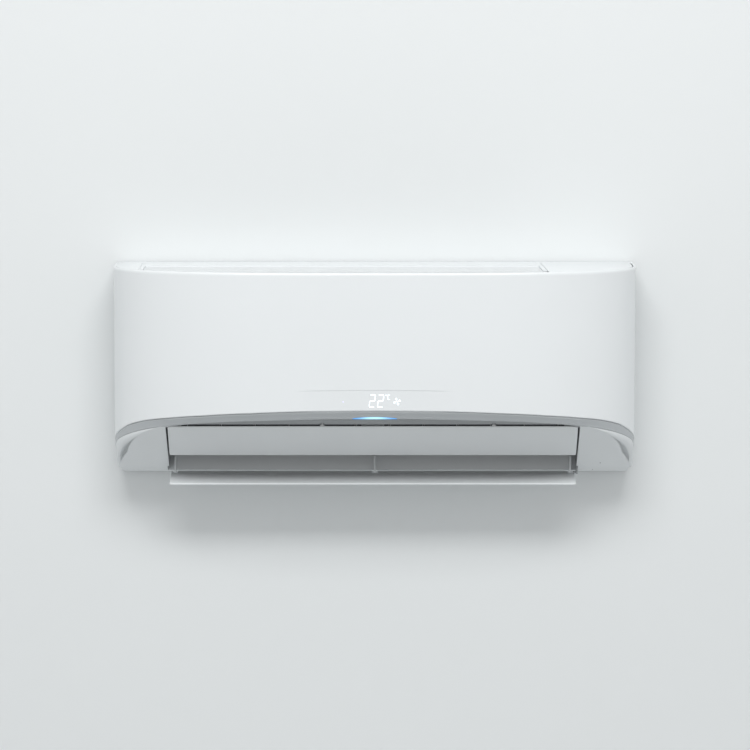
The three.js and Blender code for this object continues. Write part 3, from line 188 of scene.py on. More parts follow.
@dataclass(frozen=True)
class Finish:
    """A moulded, metal or rubber surface with slow changes of tone and a fine relief."""

    slot: str
    colour: Colour
    roughness: float
    metallic: float = 0.0
    coat: float = 0.0
    tone: float = 0.012
    drift_scale: float = 7.0
    rough_drift: float = 0.03
    grain: Grain = Grain.MOULDED
    grain_scale: float = 1400.0
    grain_strength: float = 0.05

    def material(self) -> bpy.types.Material:
        """Builds the finish as a node material, once for each slot.

        Returns:
            The material, with its colour, roughness and relief driven by object coordinates.
        """
        found = bpy.data.materials.get(f"look_{self.slot}")
        if found is not None:
            return found
        made, tree, shader = principled(f"look_{self.slot}")
        place = node(tree, "TexCoord").outputs["Object"]
        drift = noise(tree, place, self.drift_scale, 3.0)
        dark, light = ([c * (1.0 + sign * self.tone) for c in self.colour] for sign in (-1, 1))
        stretched = node(tree, "Mapping", Scale=self.grain.value, Vector=place).outputs["Vector"]
        fine = noise(tree, stretched, self.grain_scale, 2.0)
        wear = node(tree, "MapRange", Value=noise(tree, stretched, self.drift_scale * WEAR_TO_DRIFT, 4.0))
        for name, sign in (("To Min", -1), ("To Max", 1)):
            wear.inputs[name].default_value = self.roughness + sign * self.rough_drift
        relief = node(tree, "Bump", Strength=self.grain_strength, Distance=RELIEF_DEPTH, Height=fine)
        feed(tree, shader, {"Metallic": self.metallic, "Coat Weight": self.coat,
                            "Coat Roughness": COAT_ROUGHNESS,
                            "Base Color": ramp(tree, drift, [(0.3, dark), (0.7, light)]),
                            "Roughness": wear.outputs["Result"], "Normal": relief.outputs["Normal"]})
        return made


@dataclass(frozen=True)
class Glow:
    """A lit surface whose colour runs from its middle to its ends along x."""

    slot: str
    middle: Colour
    ends: Colour
    half_length: float
    strength: float
    name: str

    def material(self) -> bpy.types.Material:
        """Builds the glow as a node material, once for each name.

        Returns:
            The material, with its emission driven by the distance from x = 0.
        """
        found = bpy.data.materials.get(f"look_{self.name}")
        if found is not None:
            return found
        made, tree, shader = principled(f"look_{self.name}")
        place = node(tree, "TexCoord").outputs["Object"]
        distance = node(tree, "Math")
        distance.operation = "ABSOLUTE"
        tree.links.new(node(tree, "SeparateXYZ", Vector=place).outputs["X"], distance.inputs[0])
        share = node(tree, "MapRange", Value=distance.outputs["Value"])
        share.inputs["From Max"].default_value = self.half_length * MM
        colour = ramp(tree, share.outputs["Result"], [(0.0, self.middle), (1.0, self.ends)], "EASE")
        feed(tree, shader, {"Roughness": LIT_ROUGHNESS, "Emission Strength": self.strength,
                            "Emission Color": colour, "Base Color": colour})
        return made


GLOSS_WHITE = Finish("gloss_white_panel", (0.800, 0.826, 0.836), 0.30, coat=0.25, tone=0.006,
                     grain_strength=0.02)
SATIN_WHITE = Finish("satin_white_plastic", (0.770, 0.796, 0.806), 0.44, tone=0.008)
TRIM_GREY = Finish("silver_grey_trim", (0.520, 0.545, 0.560), 0.38, coat=0.15, tone=0.01,
                   grain_strength=0.03)
INNER_GREY = Finish("inner_grey_plastic", (0.330, 0.345, 0.355), 0.58, tone=0.03, grain=Grain.CAST)
FAN_GREY = Finish("dark_fan_plastic", (0.055, 0.060, 0.064), 0.55, tone=0.05)
NET_DARK = Finish("filter_net", (0.110, 0.116, 0.122), 0.62, tone=0.05)
RUBBER = Finish("black_rubber", (0.022, 0.022, 0.023), 0.78, tone=0.10, grain=Grain.CAST,
                grain_strength=0.15)
ZINC = Finish("zinc_sheet", (0.560, 0.575, 0.585), 0.40, metallic=0.9, tone=0.10, drift_scale=60.0,
              rough_drift=0.10, grain=Grain.CAST, grain_strength=0.06)
STEEL = Finish("bright_steel", (0.600, 0.605, 0.610), 0.30, metallic=1.0, tone=0.05, rough_drift=0.08,
               grain=Grain.BRUSHED, grain_strength=0.08)
ALUMINIUM = Finish("aluminium_fins", (0.700, 0.715, 0.725), 0.38, metallic=0.85, tone=0.06,
                   drift_scale=30.0, grain=Grain.ROLLED, grain_strength=0.08)
COPPER = Finish("copper_tube", (0.720, 0.330, 0.180), 0.32, metallic=1.0, tone=0.14, drift_scale=40.0,
                rough_drift=0.10, grain=Grain.CAST, grain_strength=0.06)
BRASS = Finish("flare_brass", (0.690, 0.480, 0.190), 0.28, metallic=1.0, tone=0.08, drift_scale=60.0,
               rough_drift=0.08)
BOARD = Finish("circuit_board", (0.035, 0.145, 0.065), 0.42, coat=0.3, tone=0.15, drift_scale=220.0)
LENS = Finish("smoked_lens", (0.480, 0.505, 0.520), 0.10, coat=0.6, tone=0.02)
BAR_LIGHT = Glow("light_bar_glow", (0.40, 0.74, 0.93), (0.08, 0.28, 0.60), 32.0, 0.95, "bar_light")
DIGIT_LIGHT = Glow("light_bar_glow", (0.88, 0.97, 1.0), (0.80, 0.93, 1.0), 40.0, 0.93, "digit_light")
DOT_LIGHT = Glow("light_bar_glow", (0.72, 0.70, 0.94), (0.60, 0.58, 0.88), 60.0, 0.85, "dot_light")


# ---------------------------------------------------------------------------
# Shaping
# ---------------------------------------------------------------------------


def fresh_verts(geom: Iterable[object]) -> list[bmesh.types.BMVert]:
    """The vertices among the items that an operator made."""
    return [item for item in geom if isinstance(item, bmesh.types.BMVert)]


def quarter_turn(step: float, start: float = 0.0) -> list[Pair]:
    """The cosine and sine of even steps, in degrees, up to a quarter turn."""
    turns = [math.radians(start + step * k) for k in range(round((90.0 - start) / step) + 1)]
    return [(math.cos(turn), math.sin(turn)) for turn in turns]


def turned(x0: float, x1: float, bore: float, radius: float, chamfer: float) -> list[Pair]:
    """The [x, radius] profile of a turned piece with chamfered ends, hollow up to its bore."""
    return [(x0, bore), (x0, radius - chamfer), (x0 + chamfer, radius), (x1 - chamfer, radius),
            (x1, radius - chamfer), (x1, bore)]


def in_scene(name: str, data: bpy.types.ID) -> bpy.types.Object:
    """Makes an object of some data and links it to the scene."""
    made = bpy.data.objects.new(name, data)
    bpy.context.scene.collection.objects.link(made)
    return made


class Form:
    """A mesh in the making, in the frame's metres."""

    def __init__(self) -> None:
        """Starts with an empty mesh."""
        self.bm = bmesh.new()

    def sweep(self, rings: Sequence[Ring]) -> "Form":
        """Extrudes a closed ring of points through further rings, and fills the first and last."""
        verts = [self.bm.verts.new(point) for point in rings[0]]
        edges = [self.bm.edges.new(pair) for pair in zip(verts, verts[1:] + verts[:1])]
        first = list(edges)
        for ring in rings[1:]:
            made = bmesh.ops.extrude_edge_only(self.bm, edges=edges)["geom"]
            fresh = set(fresh_verts(made))
            verts = [next(e.other_vert(v) for e in v.link_edges if e.other_vert(v) in fresh) for v in verts]
            for vert, point in zip(verts, ring):
                vert.co = point
            edges = [item for item in made if isinstance(item, bmesh.types.BMEdge)
                     and item.verts[0] in fresh and item.verts[1] in fresh]
        bmesh.ops.contextual_create(self.bm, geom=first)
        bmesh.ops.contextual_create(self.bm, geom=edges)
        return self

    def prism(self, outline: Sequence[Pair], x0: float, x1: float, bevel: float = 0.0) -> "Form":
        """Extrudes a side view along x.

        Args:
            outline: The side view as [depth, height] points in millimetres.
            x0: Where the prism starts.
            x1: Where it ends.
            bevel: The size of the rounding along its sharp edges, in millimetres.

        Returns:
            This form.
        """
        verts = [self.bm.verts.new(spot(x0, depth, height)) for depth, height in outline]
        ahead = self.thicken(verts)
        bmesh.ops.translate(self.bm, verts=ahead, vec=((x1 - x0) * MM, 0.0, 0.0))
        if bevel:
            ends = set(verts) | set(ahead)
            edges = [edge for edge in self.bm.edges if edge.verts[0] in ends and edge.verts[1] in ends
                     and edge.is_manifold and edge.calc_face_angle(0.0) > math.radians(PRISM_TURN)]
            self.round_edges(edges, bevel)
        return self

    def thicken(self, verts: Sequence[bmesh.types.BMVert]) -> list[bmesh.types.BMVert]:
        """Fills a ring of vertices and extrudes it, and gives the new ring, still in the same place."""
        face = self.bm.faces.new(verts)
        return fresh_verts(bmesh.ops.extrude_face_region(self.bm, geom=[face])["geom"])

    def round_edges(self, edges: Iterable[bmesh.types.BMEdge], size: float, segments: int = 2) -> "Form":
        """Rounds edges by a size in millimetres."""
        bmesh.ops.bevel(self.bm, geom=list(edges), offset=size * MM, affect="EDGES", segments=segments,
                        profile=0.5, material=-1, offset_type="OFFSET", clamp_overlap=False)
        return self

    def lathe(self, profile: Sequence[Pair], depth: float, height: float, steps: int = 32) -> "Form":
        """Spins a profile round an axis along x.

        Args:
            profile: [x, radius] points in millimetres, closed by the axis or by themselves.
            depth: The axis's depth.
            height: The axis's height.
            steps: How many steps the full turn has.

        Returns:
            This form.
        """
        verts = [self.bm.verts.new(spot(x, depth, height + radius)) for x, radius in profile]
        pairs = list(zip(verts, verts[1:]))
        if profile[0][1] > 0.0 and profile[-1][1] > 0.0:
            pairs.append((verts[-1], verts[0]))
        edges = [self.bm.edges.new(pair) for pair in pairs]
        bmesh.ops.spin(self.bm, geom=[*verts, *edges], cent=spot(0.0, depth, height), axis=(1.0, 0.0, 0.0),
                       angle=math.tau, steps=steps, use_merge=True, use_duplicate=False)
        return self

    def tube(self, route: Sequence[Vector], radius: float, sides: int = 12) -> "Form":
        """Extrudes a round section along a route.

        Args:
            route: The centre line's points, in metres.
            radius: The section's radius, in millimetres.
            sides: How many sides it has.

        Returns:
            This form.
        """
        rings: list[Ring] = []
        up = Vector((0.0, 0.0, 1.0))
        for i, point in enumerate(route):
            ahead = (route[min(i + 1, len(route) - 1)] - route[max(i - 1, 0)]).normalized()
            side = ahead.cross(up)
            if side.length < 1e-3:
                side = ahead.cross(Vector((0.0, 1.0, 0.0)))
            side.normalize()
            up = side.cross(ahead).normalized()
            turns = [math.tau * k / sides for k in range(sides)]
            rings.append([point + (side * math.cos(t) + up * math.sin(t)) * radius * MM for t in turns])
        return self.sweep(rings)

    def block(self, across: Pair, depths: Pair, heights: Pair, bevel: float = 0.0) -> "Form":
        """A box between two values along each axis, with its edges rounded by a size in millimetres."""
        outline = [(depths[0], heights[0]), (depths[1], heights[0]), (depths[1], heights[1]),
                   (depths[0], heights[1])]
        return self.prism(outline, across[0], across[1], bevel)

    def move(self, matrix: Matrix) -> "Form":
        """Moves everything made so far by a matrix."""
        bmesh.ops.transform(self.bm, matrix=matrix, verts=self.bm.verts)
        return self

    def piece(self, name: str, body: str, finish: "Finish | Glow", replaces: Sequence[str] = (),
              sharp: float = 32.0) -> bpy.types.Object:
        """Closes the mesh and makes it a piece of the object.

        Args:
            name: The piece's name.
            body: The body that it rides on.
            finish: Its finish.
            replaces: The CAD nodes that it stands for.
            sharp: Edges that turn more than this, in degrees, stay sharp.

        Returns:
            The finished object.
        """
        bmesh.ops.remove_doubles(self.bm, verts=self.bm.verts, dist=SAME_POINT)
        bmesh.ops.dissolve_degenerate(self.bm, edges=self.bm.edges, dist=NO_LENGTH)
        bmesh.ops.recalc_face_normals(self.bm, faces=self.bm.faces)
        made = self.finished(name, finish.material())
        made.data.shade_smooth()
        made.data.set_sharp_from_angle(angle=math.radians(sharp))
        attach(made, body)
        if replaces:
            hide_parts(*replaces)
        return made

    def finished(self, name: str, material: bpy.types.Material) -> bpy.types.Object:
        """Turns the form into an object with a material."""
        mesh = bpy.data.meshes.new(name)
        self.bm.to_mesh(mesh)
        self.bm.free()
        mesh.materials.append(material)
        return in_scene(name, mesh)


def refined(source: str, ending: str, finish: Finish, bevel: float, segments: int = 2,
            body: str = HOUSING) -> bpy.types.Object:
    """Copies a CAD node's mesh, merges it and rounds its sharp edges.

    Args:
        source: The CAD node.
        ending: What the new piece's name has after the node's.
        finish: Its finish.
        bevel: The size of the rounding, in millimetres.
        segments: How many steps it has.
        body: The body that it rides on.

    Returns:
        The finished object, which stands for the node.
    """
    form = Form()
    form.bm.from_mesh(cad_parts[source].data)
    bmesh.ops.remove_doubles(form.bm, verts=form.bm.verts, dist=SAME_CAD_POINT)
    bmesh.ops.dissolve_limit(form.bm, angle_limit=math.radians(FLAT_TURN), verts=form.bm.verts,
                             edges=form.bm.edges)
    edges = [edge for edge in form.bm.edges if edge.is_manifold
             and edge.calc_face_angle(0.0) > math.radians(CAD_TURN)
             and edge.calc_length() > 2.0 * bevel * MM]
    form.round_edges(edges, bevel, segments)
    return form.piece(f"{source}_{ending}", body, finish, [source], sharp=CAD_SHARP)


# ---------------------------------------------------------------------------
# The body's outlines
# ---------------------------------------------------------------------------


@dataclass(frozen=True)
class BodyPlan:
    """The plan and the edges that the casing's pieces share, in millimetres."""

    half_width: float = 382.5
    depth: float = 214.0
    height: float = 312.0
    side_depth: float = 84.0
    power: float = 3.5
    panel_low: float = 112.0
    panel_slope: float = 0.42
    trim_drop: float = 8.1
    trim_side_inset: float = 2.0
    trim_front_inset: float = 12.0
    slope: float = math.radians(34.0)
    edge_depth: float = 168.0
    edge_height: float = 84.6
    under_round: float = 115.0
    edge_lift: tuple[Pair, ...] = ((0.0, 0.9), (107.0, 0.1), (178.0, -1.3), (250.0, -1.3), (300.0, 0.3),
                                   (322.0, 1.9), (336.0, 2.7), (358.0, 3.4), (382.5, 0.0))

    def at(self, turn: float, side_inset: float, front_inset: float) -> Pair:
        """The point of an inset plan curve at a turn from the right side (0) to the left (pi)."""
        across = math.cos(turn)
        x = (self.half_width - side_inset) * math.copysign(abs(across) ** (2.0 / self.power), across)
        return x, self.side_depth + (self.depth - front_inset - self.side_depth) * max(0.0, math.sin(turn))

    def trim_half_width(self) -> float:
        """Half the width at the trim's lower edge."""
        return self.half_width - self.trim_side_inset

    def trim_reach(self) -> float:
        """How far the trim's lower edge comes forward of the straight sides."""
        return self.depth - self.trim_front_inset - self.side_depth

    def turn_at(self, x: float) -> float:
        """The turn at which the outer curve reaches an x."""
        share = (abs(x) / self.half_width) ** (self.power / 2.0)
        return math.acos(math.copysign(share, x))

    def turns(self, step: float = 8.0, reach: float = 312.0, corner_steps: int = 24,
              extra: Sequence[float] = ()) -> list[float]:
        """Stations along the front, even in x in the middle and even in turn round the corners.

        Args:
            step: The spacing in the middle, in millimetres.
            reach: How far the middle goes to each side.
            corner_steps: How many steps each corner has.
            extra: Further x values that get a station.

        Returns:
            The stations' turns, from the right side to the left.
        """
        count = round(reach / step)
        middle = {self.turn_at(k * reach / count) for k in range(-count, count + 1)}
        middle |= {self.turn_at(x) for x in extra}
        corner = self.turn_at(reach)
        rounds = {corner * k / corner_steps for k in range(corner_steps)}
        return sorted(middle | rounds | {math.pi - turn for turn in rounds})

    def panel_edge(self, depth: float) -> float:
        """Height of the panel's lower edge at a depth."""
        return self.panel_low - self.panel_slope * (self.depth - depth)

    def lift(self, x: float) -> float:
        """How far the panel's lower edge bows up at an x."""
        place = min(abs(x), self.edge_lift[-1][0])
        (x0, low), (x1, high) = next(pair for pair in zip(self.edge_lift, self.edge_lift[1:])
                                     if place <= pair[1][0])
        return mix(low, high, (place - x0) / (x1 - x0))

    def trim_edge(self, depth: float) -> float:
        """Height of the trim's lower edge at a depth."""
        return self.panel_edge(depth) - self.trim_drop

    def flat_depth(self) -> float:
        """Depth at which the underside's flat strip ends."""
        return self.edge_depth - self.edge_height / math.tan(self.slope) - self.under_round * math.tan(
            self.slope / 2.0)

    def underside(self, depth: float) -> float:
        """Height of the underside at a depth."""
        start = self.flat_depth()
        end = start + self.under_round * math.sin(self.slope)
        if depth <= start:
            return 0.0
        if depth < end:
            return self.under_round - math.sqrt(self.under_round ** 2 - (depth - start) ** 2)
        return self.edge_height + (depth - self.edge_depth) * math.tan(self.slope)

    def under_point(self, along: float, inward: float) -> Pair:
        """A point measured along the sloping underside from the opening's front edge, and into the body."""
        return (self.edge_depth - along * math.cos(self.slope) - inward * math.sin(self.slope),
                self.edge_height - along * math.sin(self.slope) + inward * math.cos(self.slope))


PLAN = BodyPlan()


# ---------------------------------------------------------------------------
# Front panel and its display
# ---------------------------------------------------------------------------


@dataclass
class FrontPanel:
    """The curved shell, its hinge arms and the marks that shine through it."""

    wall: float = 3.0
    arch_height: float = 143.0
    arch_drop: float = 1.4
    arch_reach: float = 115.0
    fade: Pair = (84.0, 119.0)
    step_in: float = 0.45
    edge_in: float = 1.0
    low_round: float = 0.9
    top_round: Pair = (2.6, 4.5)
    edge_shares: tuple[float, ...] = (0.04, 0.08, 0.2, 0.4, 0.6, 0.8, 0.95)
    arch_lifts: tuple[float, ...] = (-0.9, -0.6, -0.3, 0.0, 0.4, 1.2, 3.0)
    face_shares: tuple[float, ...] = (0.15, 0.4, 0.65, 0.9, 1.0)
    hinge_depth: float = 190.021
    hinge_height: float = 309.0
    hinge_x: float = 236.5
    arm_width: float = 4.0
    pin_radius: float = 1.5
    pin_reach: float = 6.5
    digit_lefts: Pair = (-8.0, 4.0)
    digit_low: float = 118.4
    digit_size: Pair = (7.5, 17.5)
    digit_slant: float = 0.10
    digit_gap: float = 0.035
    digit_stroke: float = 0.95
    letter_stroke: float = 0.75
    dot_radius: float = 0.8
    symbol_place: Pair = (32.3, 126.3)
    symbol_reach: float = 5.4
    symbol_turn: float = 0.3
    symbol_blade: tuple[Pair, ...] = ((0.25, 0.0), (0.62, -0.34), (0.95, -0.22), (1.0, 0.12), (0.82, 0.42),
                                      (0.5, 0.3))
    body: str = "front_panel"

    def arch(self, x: float) -> float:
        """Height of the display recess's upper line."""
        return self.arch_height - self.arch_drop * min(1.6, (x / self.arch_reach) ** 2)

    def recess(self, x: float, height: float) -> float:
        """How far the outer face lies behind the plain curve at a place near the display."""
        strength = 1.0 - blend(*self.fade, abs(x))
        below = self.arch(x) - height
        slope = (self.edge_in - self.step_in) * max(0.0, below) / (self.arch_height - PLAN.panel_low)
        return strength * (self.step_in * blend(0.0, 0.9, below) + slope)

    def section(self, turn: float) -> Ring:
        """The shell's closed section at one station.

        Args:
            turn: The station's turn.

        Returns:
            The ring of points: up the outer face, over the top, down the inner face.
        """
        x0, depth0 = PLAN.at(turn, 0.0, 0.0)
        low, arch = PLAN.panel_edge(depth0) + PLAN.lift(x0), self.arch(x0)
        points = [(self.low_round * (1.0 - cos), low + self.low_round * (1.0 - sin))
                  for cos, sin in reversed(quarter_turn(30.0))]
        points += [(0.0, mix(low, arch, share)) for share in self.edge_shares]
        points += [(0.0, arch + lift) for lift in self.arch_lifts]
        back, drop = self.top_round
        shoulder = PLAN.height - drop
        above = arch + self.arch_lifts[-1]
        points += [(0.0, mix(above, shoulder - 1.0, share)) for share in self.face_shares]
        points += [(back * (1.0 - cos), shoulder + drop * sin) for cos, sin in quarter_turn(15.0)]
        points += [(self.wall - 0.1, PLAN.height - 0.15), (self.wall, PLAN.height - 0.4),
                   (self.wall, PLAN.height - 1.2)]
        points += [(self.wall, mix(PLAN.height - 1.2, arch, part)) for part in (0.35, 0.7, 1.0)]
        points += [(self.wall, mix(arch, low, part)) for part in (0.5, 0.9)]
        ring: Ring = []
        for inset, height in points:
            x, depth = PLAN.at(turn, inset, inset)
            if inset < 0.5 * self.wall:
                depth -= self.recess(x, height)
            ring.append(spot(x, depth, height))
        for inset, lift in ((self.wall, 0.5), (self.wall - 0.4, 0.0)):
            x, depth = PLAN.at(turn, inset, inset)
            ring.append(spot(x, depth, PLAN.panel_edge(depth) + PLAN.lift(x0) + lift))
        return ring

    def shell(self) -> bpy.types.Object:
        """Sweeps the shell from the right side to the left."""
        extra = [sign * x for sign in (-1, 1) for x in range(84, 124, 4)]
        form = Form().sweep([self.section(turn) for turn in PLAN.turns(extra=extra)])
        ends = [face for face in form.bm.faces if len(face.verts) > 8]
        form.round_edges({edge for face in ends for edge in face.edges}, 0.45, 3)
        return form.piece("front_panel_shell", self.body, GLOSS_WHITE, ["front_panel"], sharp=40.0)

    def arms(self) -> bpy.types.Object:
        """The two hinge arms, each with a foot and a pin that points outwards."""
        form = Form()
        depth, height = self.hinge_depth, self.hinge_height
        view = [(depth - 3.0, height - 3.0), (depth - 3.0, height + 1.6), (depth - 2.0, height + 2.4),
                (depth + 6.5, height + 1.8), (depth + 8.4, height - 0.5), (depth + 8.4, height - 9.0),
                (depth + 4.0, height - 5.0)]
        for side in (-1, 1):
            inner, outer = side * (self.hinge_x - self.arm_width), side * self.hinge_x
            form.prism(view, min(inner, outer), max(inner, outer), 0.4)
            tip, r = side * (self.hinge_x + self.pin_reach), self.pin_radius
            form.lathe([(outer - side, 0.0), (outer - side, r), (tip - side * 0.4, r), (tip, r - 0.4),
                        (tip, 0.0)], depth, height, 20)
        return form.piece("front_panel_hinge_arms", self.body, GLOSS_WHITE)

    def mark(self, form: Form, outline: Sequence[Pair]) -> None:
        """Adds a thin raised plate with an outline in x and height to the display."""
        verts = [form.bm.verts.new((x, 0.0, height)) for x, height in outline]
        for group, lift in ((form.thicken(verts), 0.07), (verts, -0.15)):
            for vert in group:
                x, height = vert.co.x, vert.co.z
                depth = PLAN.at(PLAN.turn_at(x), 0.0, 0.0)[1] - self.recess(x, height)
                vert.co = spot(x, depth + lift, height)

    def stroke(self, form: Form, start: Pair, end: Pair, width: float) -> None:
        """Adds one straight stroke with pointed ends."""
        along = Vector((end[0] - start[0], end[1] - start[1])).normalized()
        across = Vector((-along.y, along.x)) * width / 2.0
        a, b = Vector(start), Vector(end)
        tip = along * width * 0.45
        outline = [a, a + tip + across, b - tip + across, b, b - tip - across, a + tip - across]
        self.mark(form, [(point.x, point.y) for point in outline])

    def digit_two(self, form: Form, left: float) -> None:
        """Adds a slanted segment digit 2."""
        width, height = self.digit_size

        def corner(u: float, v: float) -> Pair:
            """A corner of the digit from shares of its width and height."""
            return left + u * width + self.digit_slant * v * height, self.digit_low + v * height

        gap = self.digit_gap
        for (u0, v0), (u1, v1) in (((0.0, 1.0), (1.0, 1.0)), ((1.0, 1.0 - gap), (1.0, 0.5 + gap)),
                                   ((1.0, 0.5), (0.0, 0.5)), ((0.0, 0.5 - gap), (0.0, gap)),
                                   ((0.0, 0.0), (1.0, 0.0))):
            self.stroke(form, corner(u0, v0), corner(u1, v1), self.digit_stroke)

    def round_mark(self, form: Form, x: float, height: float, sides: int = 10) -> None:
        """Adds a small round mark."""
        r, turns = self.dot_radius, [math.tau * k / sides for k in range(sides)]
        self.mark(form, [(x + r * math.cos(a), height + r * math.sin(a)) for a in turns])

    def display(self) -> list[bpy.types.Object]:
        """The lit digits, the degree sign and letter, the fan symbol and the small dot."""
        digits, symbol, dot = Form(), Form(), Form()
        for left in self.digit_lefts:
            self.digit_two(digits, left)
        self.round_mark(digits, 16.4, 135.6)
        for start, end in (((22.0, 135.9), (18.9, 135.9)), ((18.8, 135.6), (18.8, 129.7)),
                           ((18.9, 129.4), (22.0, 129.4))):
            self.stroke(digits, start, end, self.letter_stroke)
        self.fan_symbol(symbol)
        self.round_mark(dot, -45.3, 126.0, 12)
        return [digits.piece("display_digits", self.body, DIGIT_LIGHT),
                symbol.piece("display_fan_symbol", self.body, DIGIT_LIGHT),
                dot.piece("display_dot", self.body, DOT_LIGHT)]

    def fan_symbol(self, form: Form) -> None:
        """Adds a small propeller of four curved blades round a hub."""
        x, height = self.symbol_place
        self.round_mark(form, x, height)
        for quarter in range(4):
            base = math.pi / 2.0 * quarter + self.symbol_turn
            outline = []
            for share, turn in self.symbol_blade:
                r, a = self.symbol_reach * share, base + turn
                outline.append((x + r * math.cos(a), height + r * math.sin(a)))
            self.mark(form, outline)

    def build(self) -> list[bpy.types.Object]:
        """Builds the panel's pieces."""
        return [self.shell(), self.arms(), *self.display()]


# ---------------------------------------------------------------------------
# Casing
# ---------------------------------------------------------------------------


@dataclass
class TrimBand:
    """The grey band under the panel, with the light bar let into the middle of its lower edge."""

    top_inset: float = 1.2
    thickness: float = 4.0
    light_reach: float = 33.0
    light_height: float = 2.0
    light_taper: float = 0.55
    light_gap: float = 0.25
    middle_lift: float = 1.5
    lift_fade: Pair = (40.0, 178.0)

    def lens(self, x: float) -> float:
        """Height of the light bar at an x, which tapers to both ends."""
        share = 1.0 - (abs(x) / self.light_reach) ** 2
        return self.light_height * max(0.0, share) ** self.light_taper

    def point(self, turn: float, part: float, inward: float) -> Vector:
        """A point of the band, from its top (0) to its lower edge (1), behind its outer face."""
        upper = PLAN.at(turn, self.top_inset + inward, self.top_inset + inward)
        lower = PLAN.at(turn, PLAN.trim_side_inset + inward, PLAN.trim_front_inset + inward)
        x, depth = mix(upper[0], lower[0], part), mix(upper[1], lower[1], part)
        top = PLAN.panel_edge(upper[1]) + PLAN.lift(upper[0]) - 0.4
        low = PLAN.trim_edge(lower[1]) + self.middle_lift * (1.0 - blend(*self.lift_fade, abs(x)))
        return spot(x, depth, mix(top, low, part))

    def band(self) -> bpy.types.Object:
        """Sweeps the band from the right side to the left, with a lip along its lower edge."""
        reach, back = self.light_reach, self.thickness
        shares = (0.4, 0.6, 0.75, 0.85, 0.92, 0.97, 0.995, 1.0)
        xs = [sign * reach * share for sign in (-1, 1) for share in shares]
        rings = []
        for turn in PLAN.turns(extra=xs):
            x = PLAN.at(turn, 0.0, 0.0)[0]
            notch = self.lens(x) / PLAN.trim_drop if abs(x) < reach else 0.0
            low = 1.0 - notch
            outer = [(0.06, 0.35), (0.1, 0.0), (0.3, 0.0), (0.5, 0.0), (low - 0.26, 0.0),
                     (low - 0.20, 0.05), (low - 0.17, -0.25), (low - 0.09, -0.3), (low - 0.03, -0.1),
                     (low, 0.35)]
            inner = [(low, back - 0.4), (low - 0.04, back), (low * 0.6, back), (low * 0.3, back),
                     (0.06, back), (0.0, back - 0.4)]
            rings.append([self.point(turn, part, inward) for part, inward in [(0.0, 0.9), *outer, *inner]])
        return Form().sweep(rings).piece("trim_band", HOUSING, TRIM_GREY, ["lower_trim"], sharp=42.0)

    def light(self) -> bpy.types.Object:
        """Sweeps the lens-shaped light bar in its notch."""
        rings = []
        steps = 36
        for k in range(steps + 1):
            x = self.light_reach * 0.985 * math.cos(math.pi * k / steps)
            turn = PLAN.turn_at(x)
            high = max(self.light_gap, self.lens(x) - self.light_gap) / PLAN.trim_drop
            outline = [(1.0 - high, 0.5), (1.0 - high * 0.6, 0.25), (1.0 - high * 0.3, 0.35), (0.99, 0.9),
                       (0.99, self.thickness - 0.6), (1.0 - high, self.thickness - 0.6)]
            rings.append([self.point(turn, part, inward) for part, inward in outline])
        lens = Form().sweep(rings)
        return lens.piece("light_bar_lens", HOUSING, BAR_LIGHT, ["led_light_bar"], sharp=60.0)

    def build(self) -> list[bpy.types.Object]:
        """Builds the band and its light."""
        return [self.band(), self.light()]


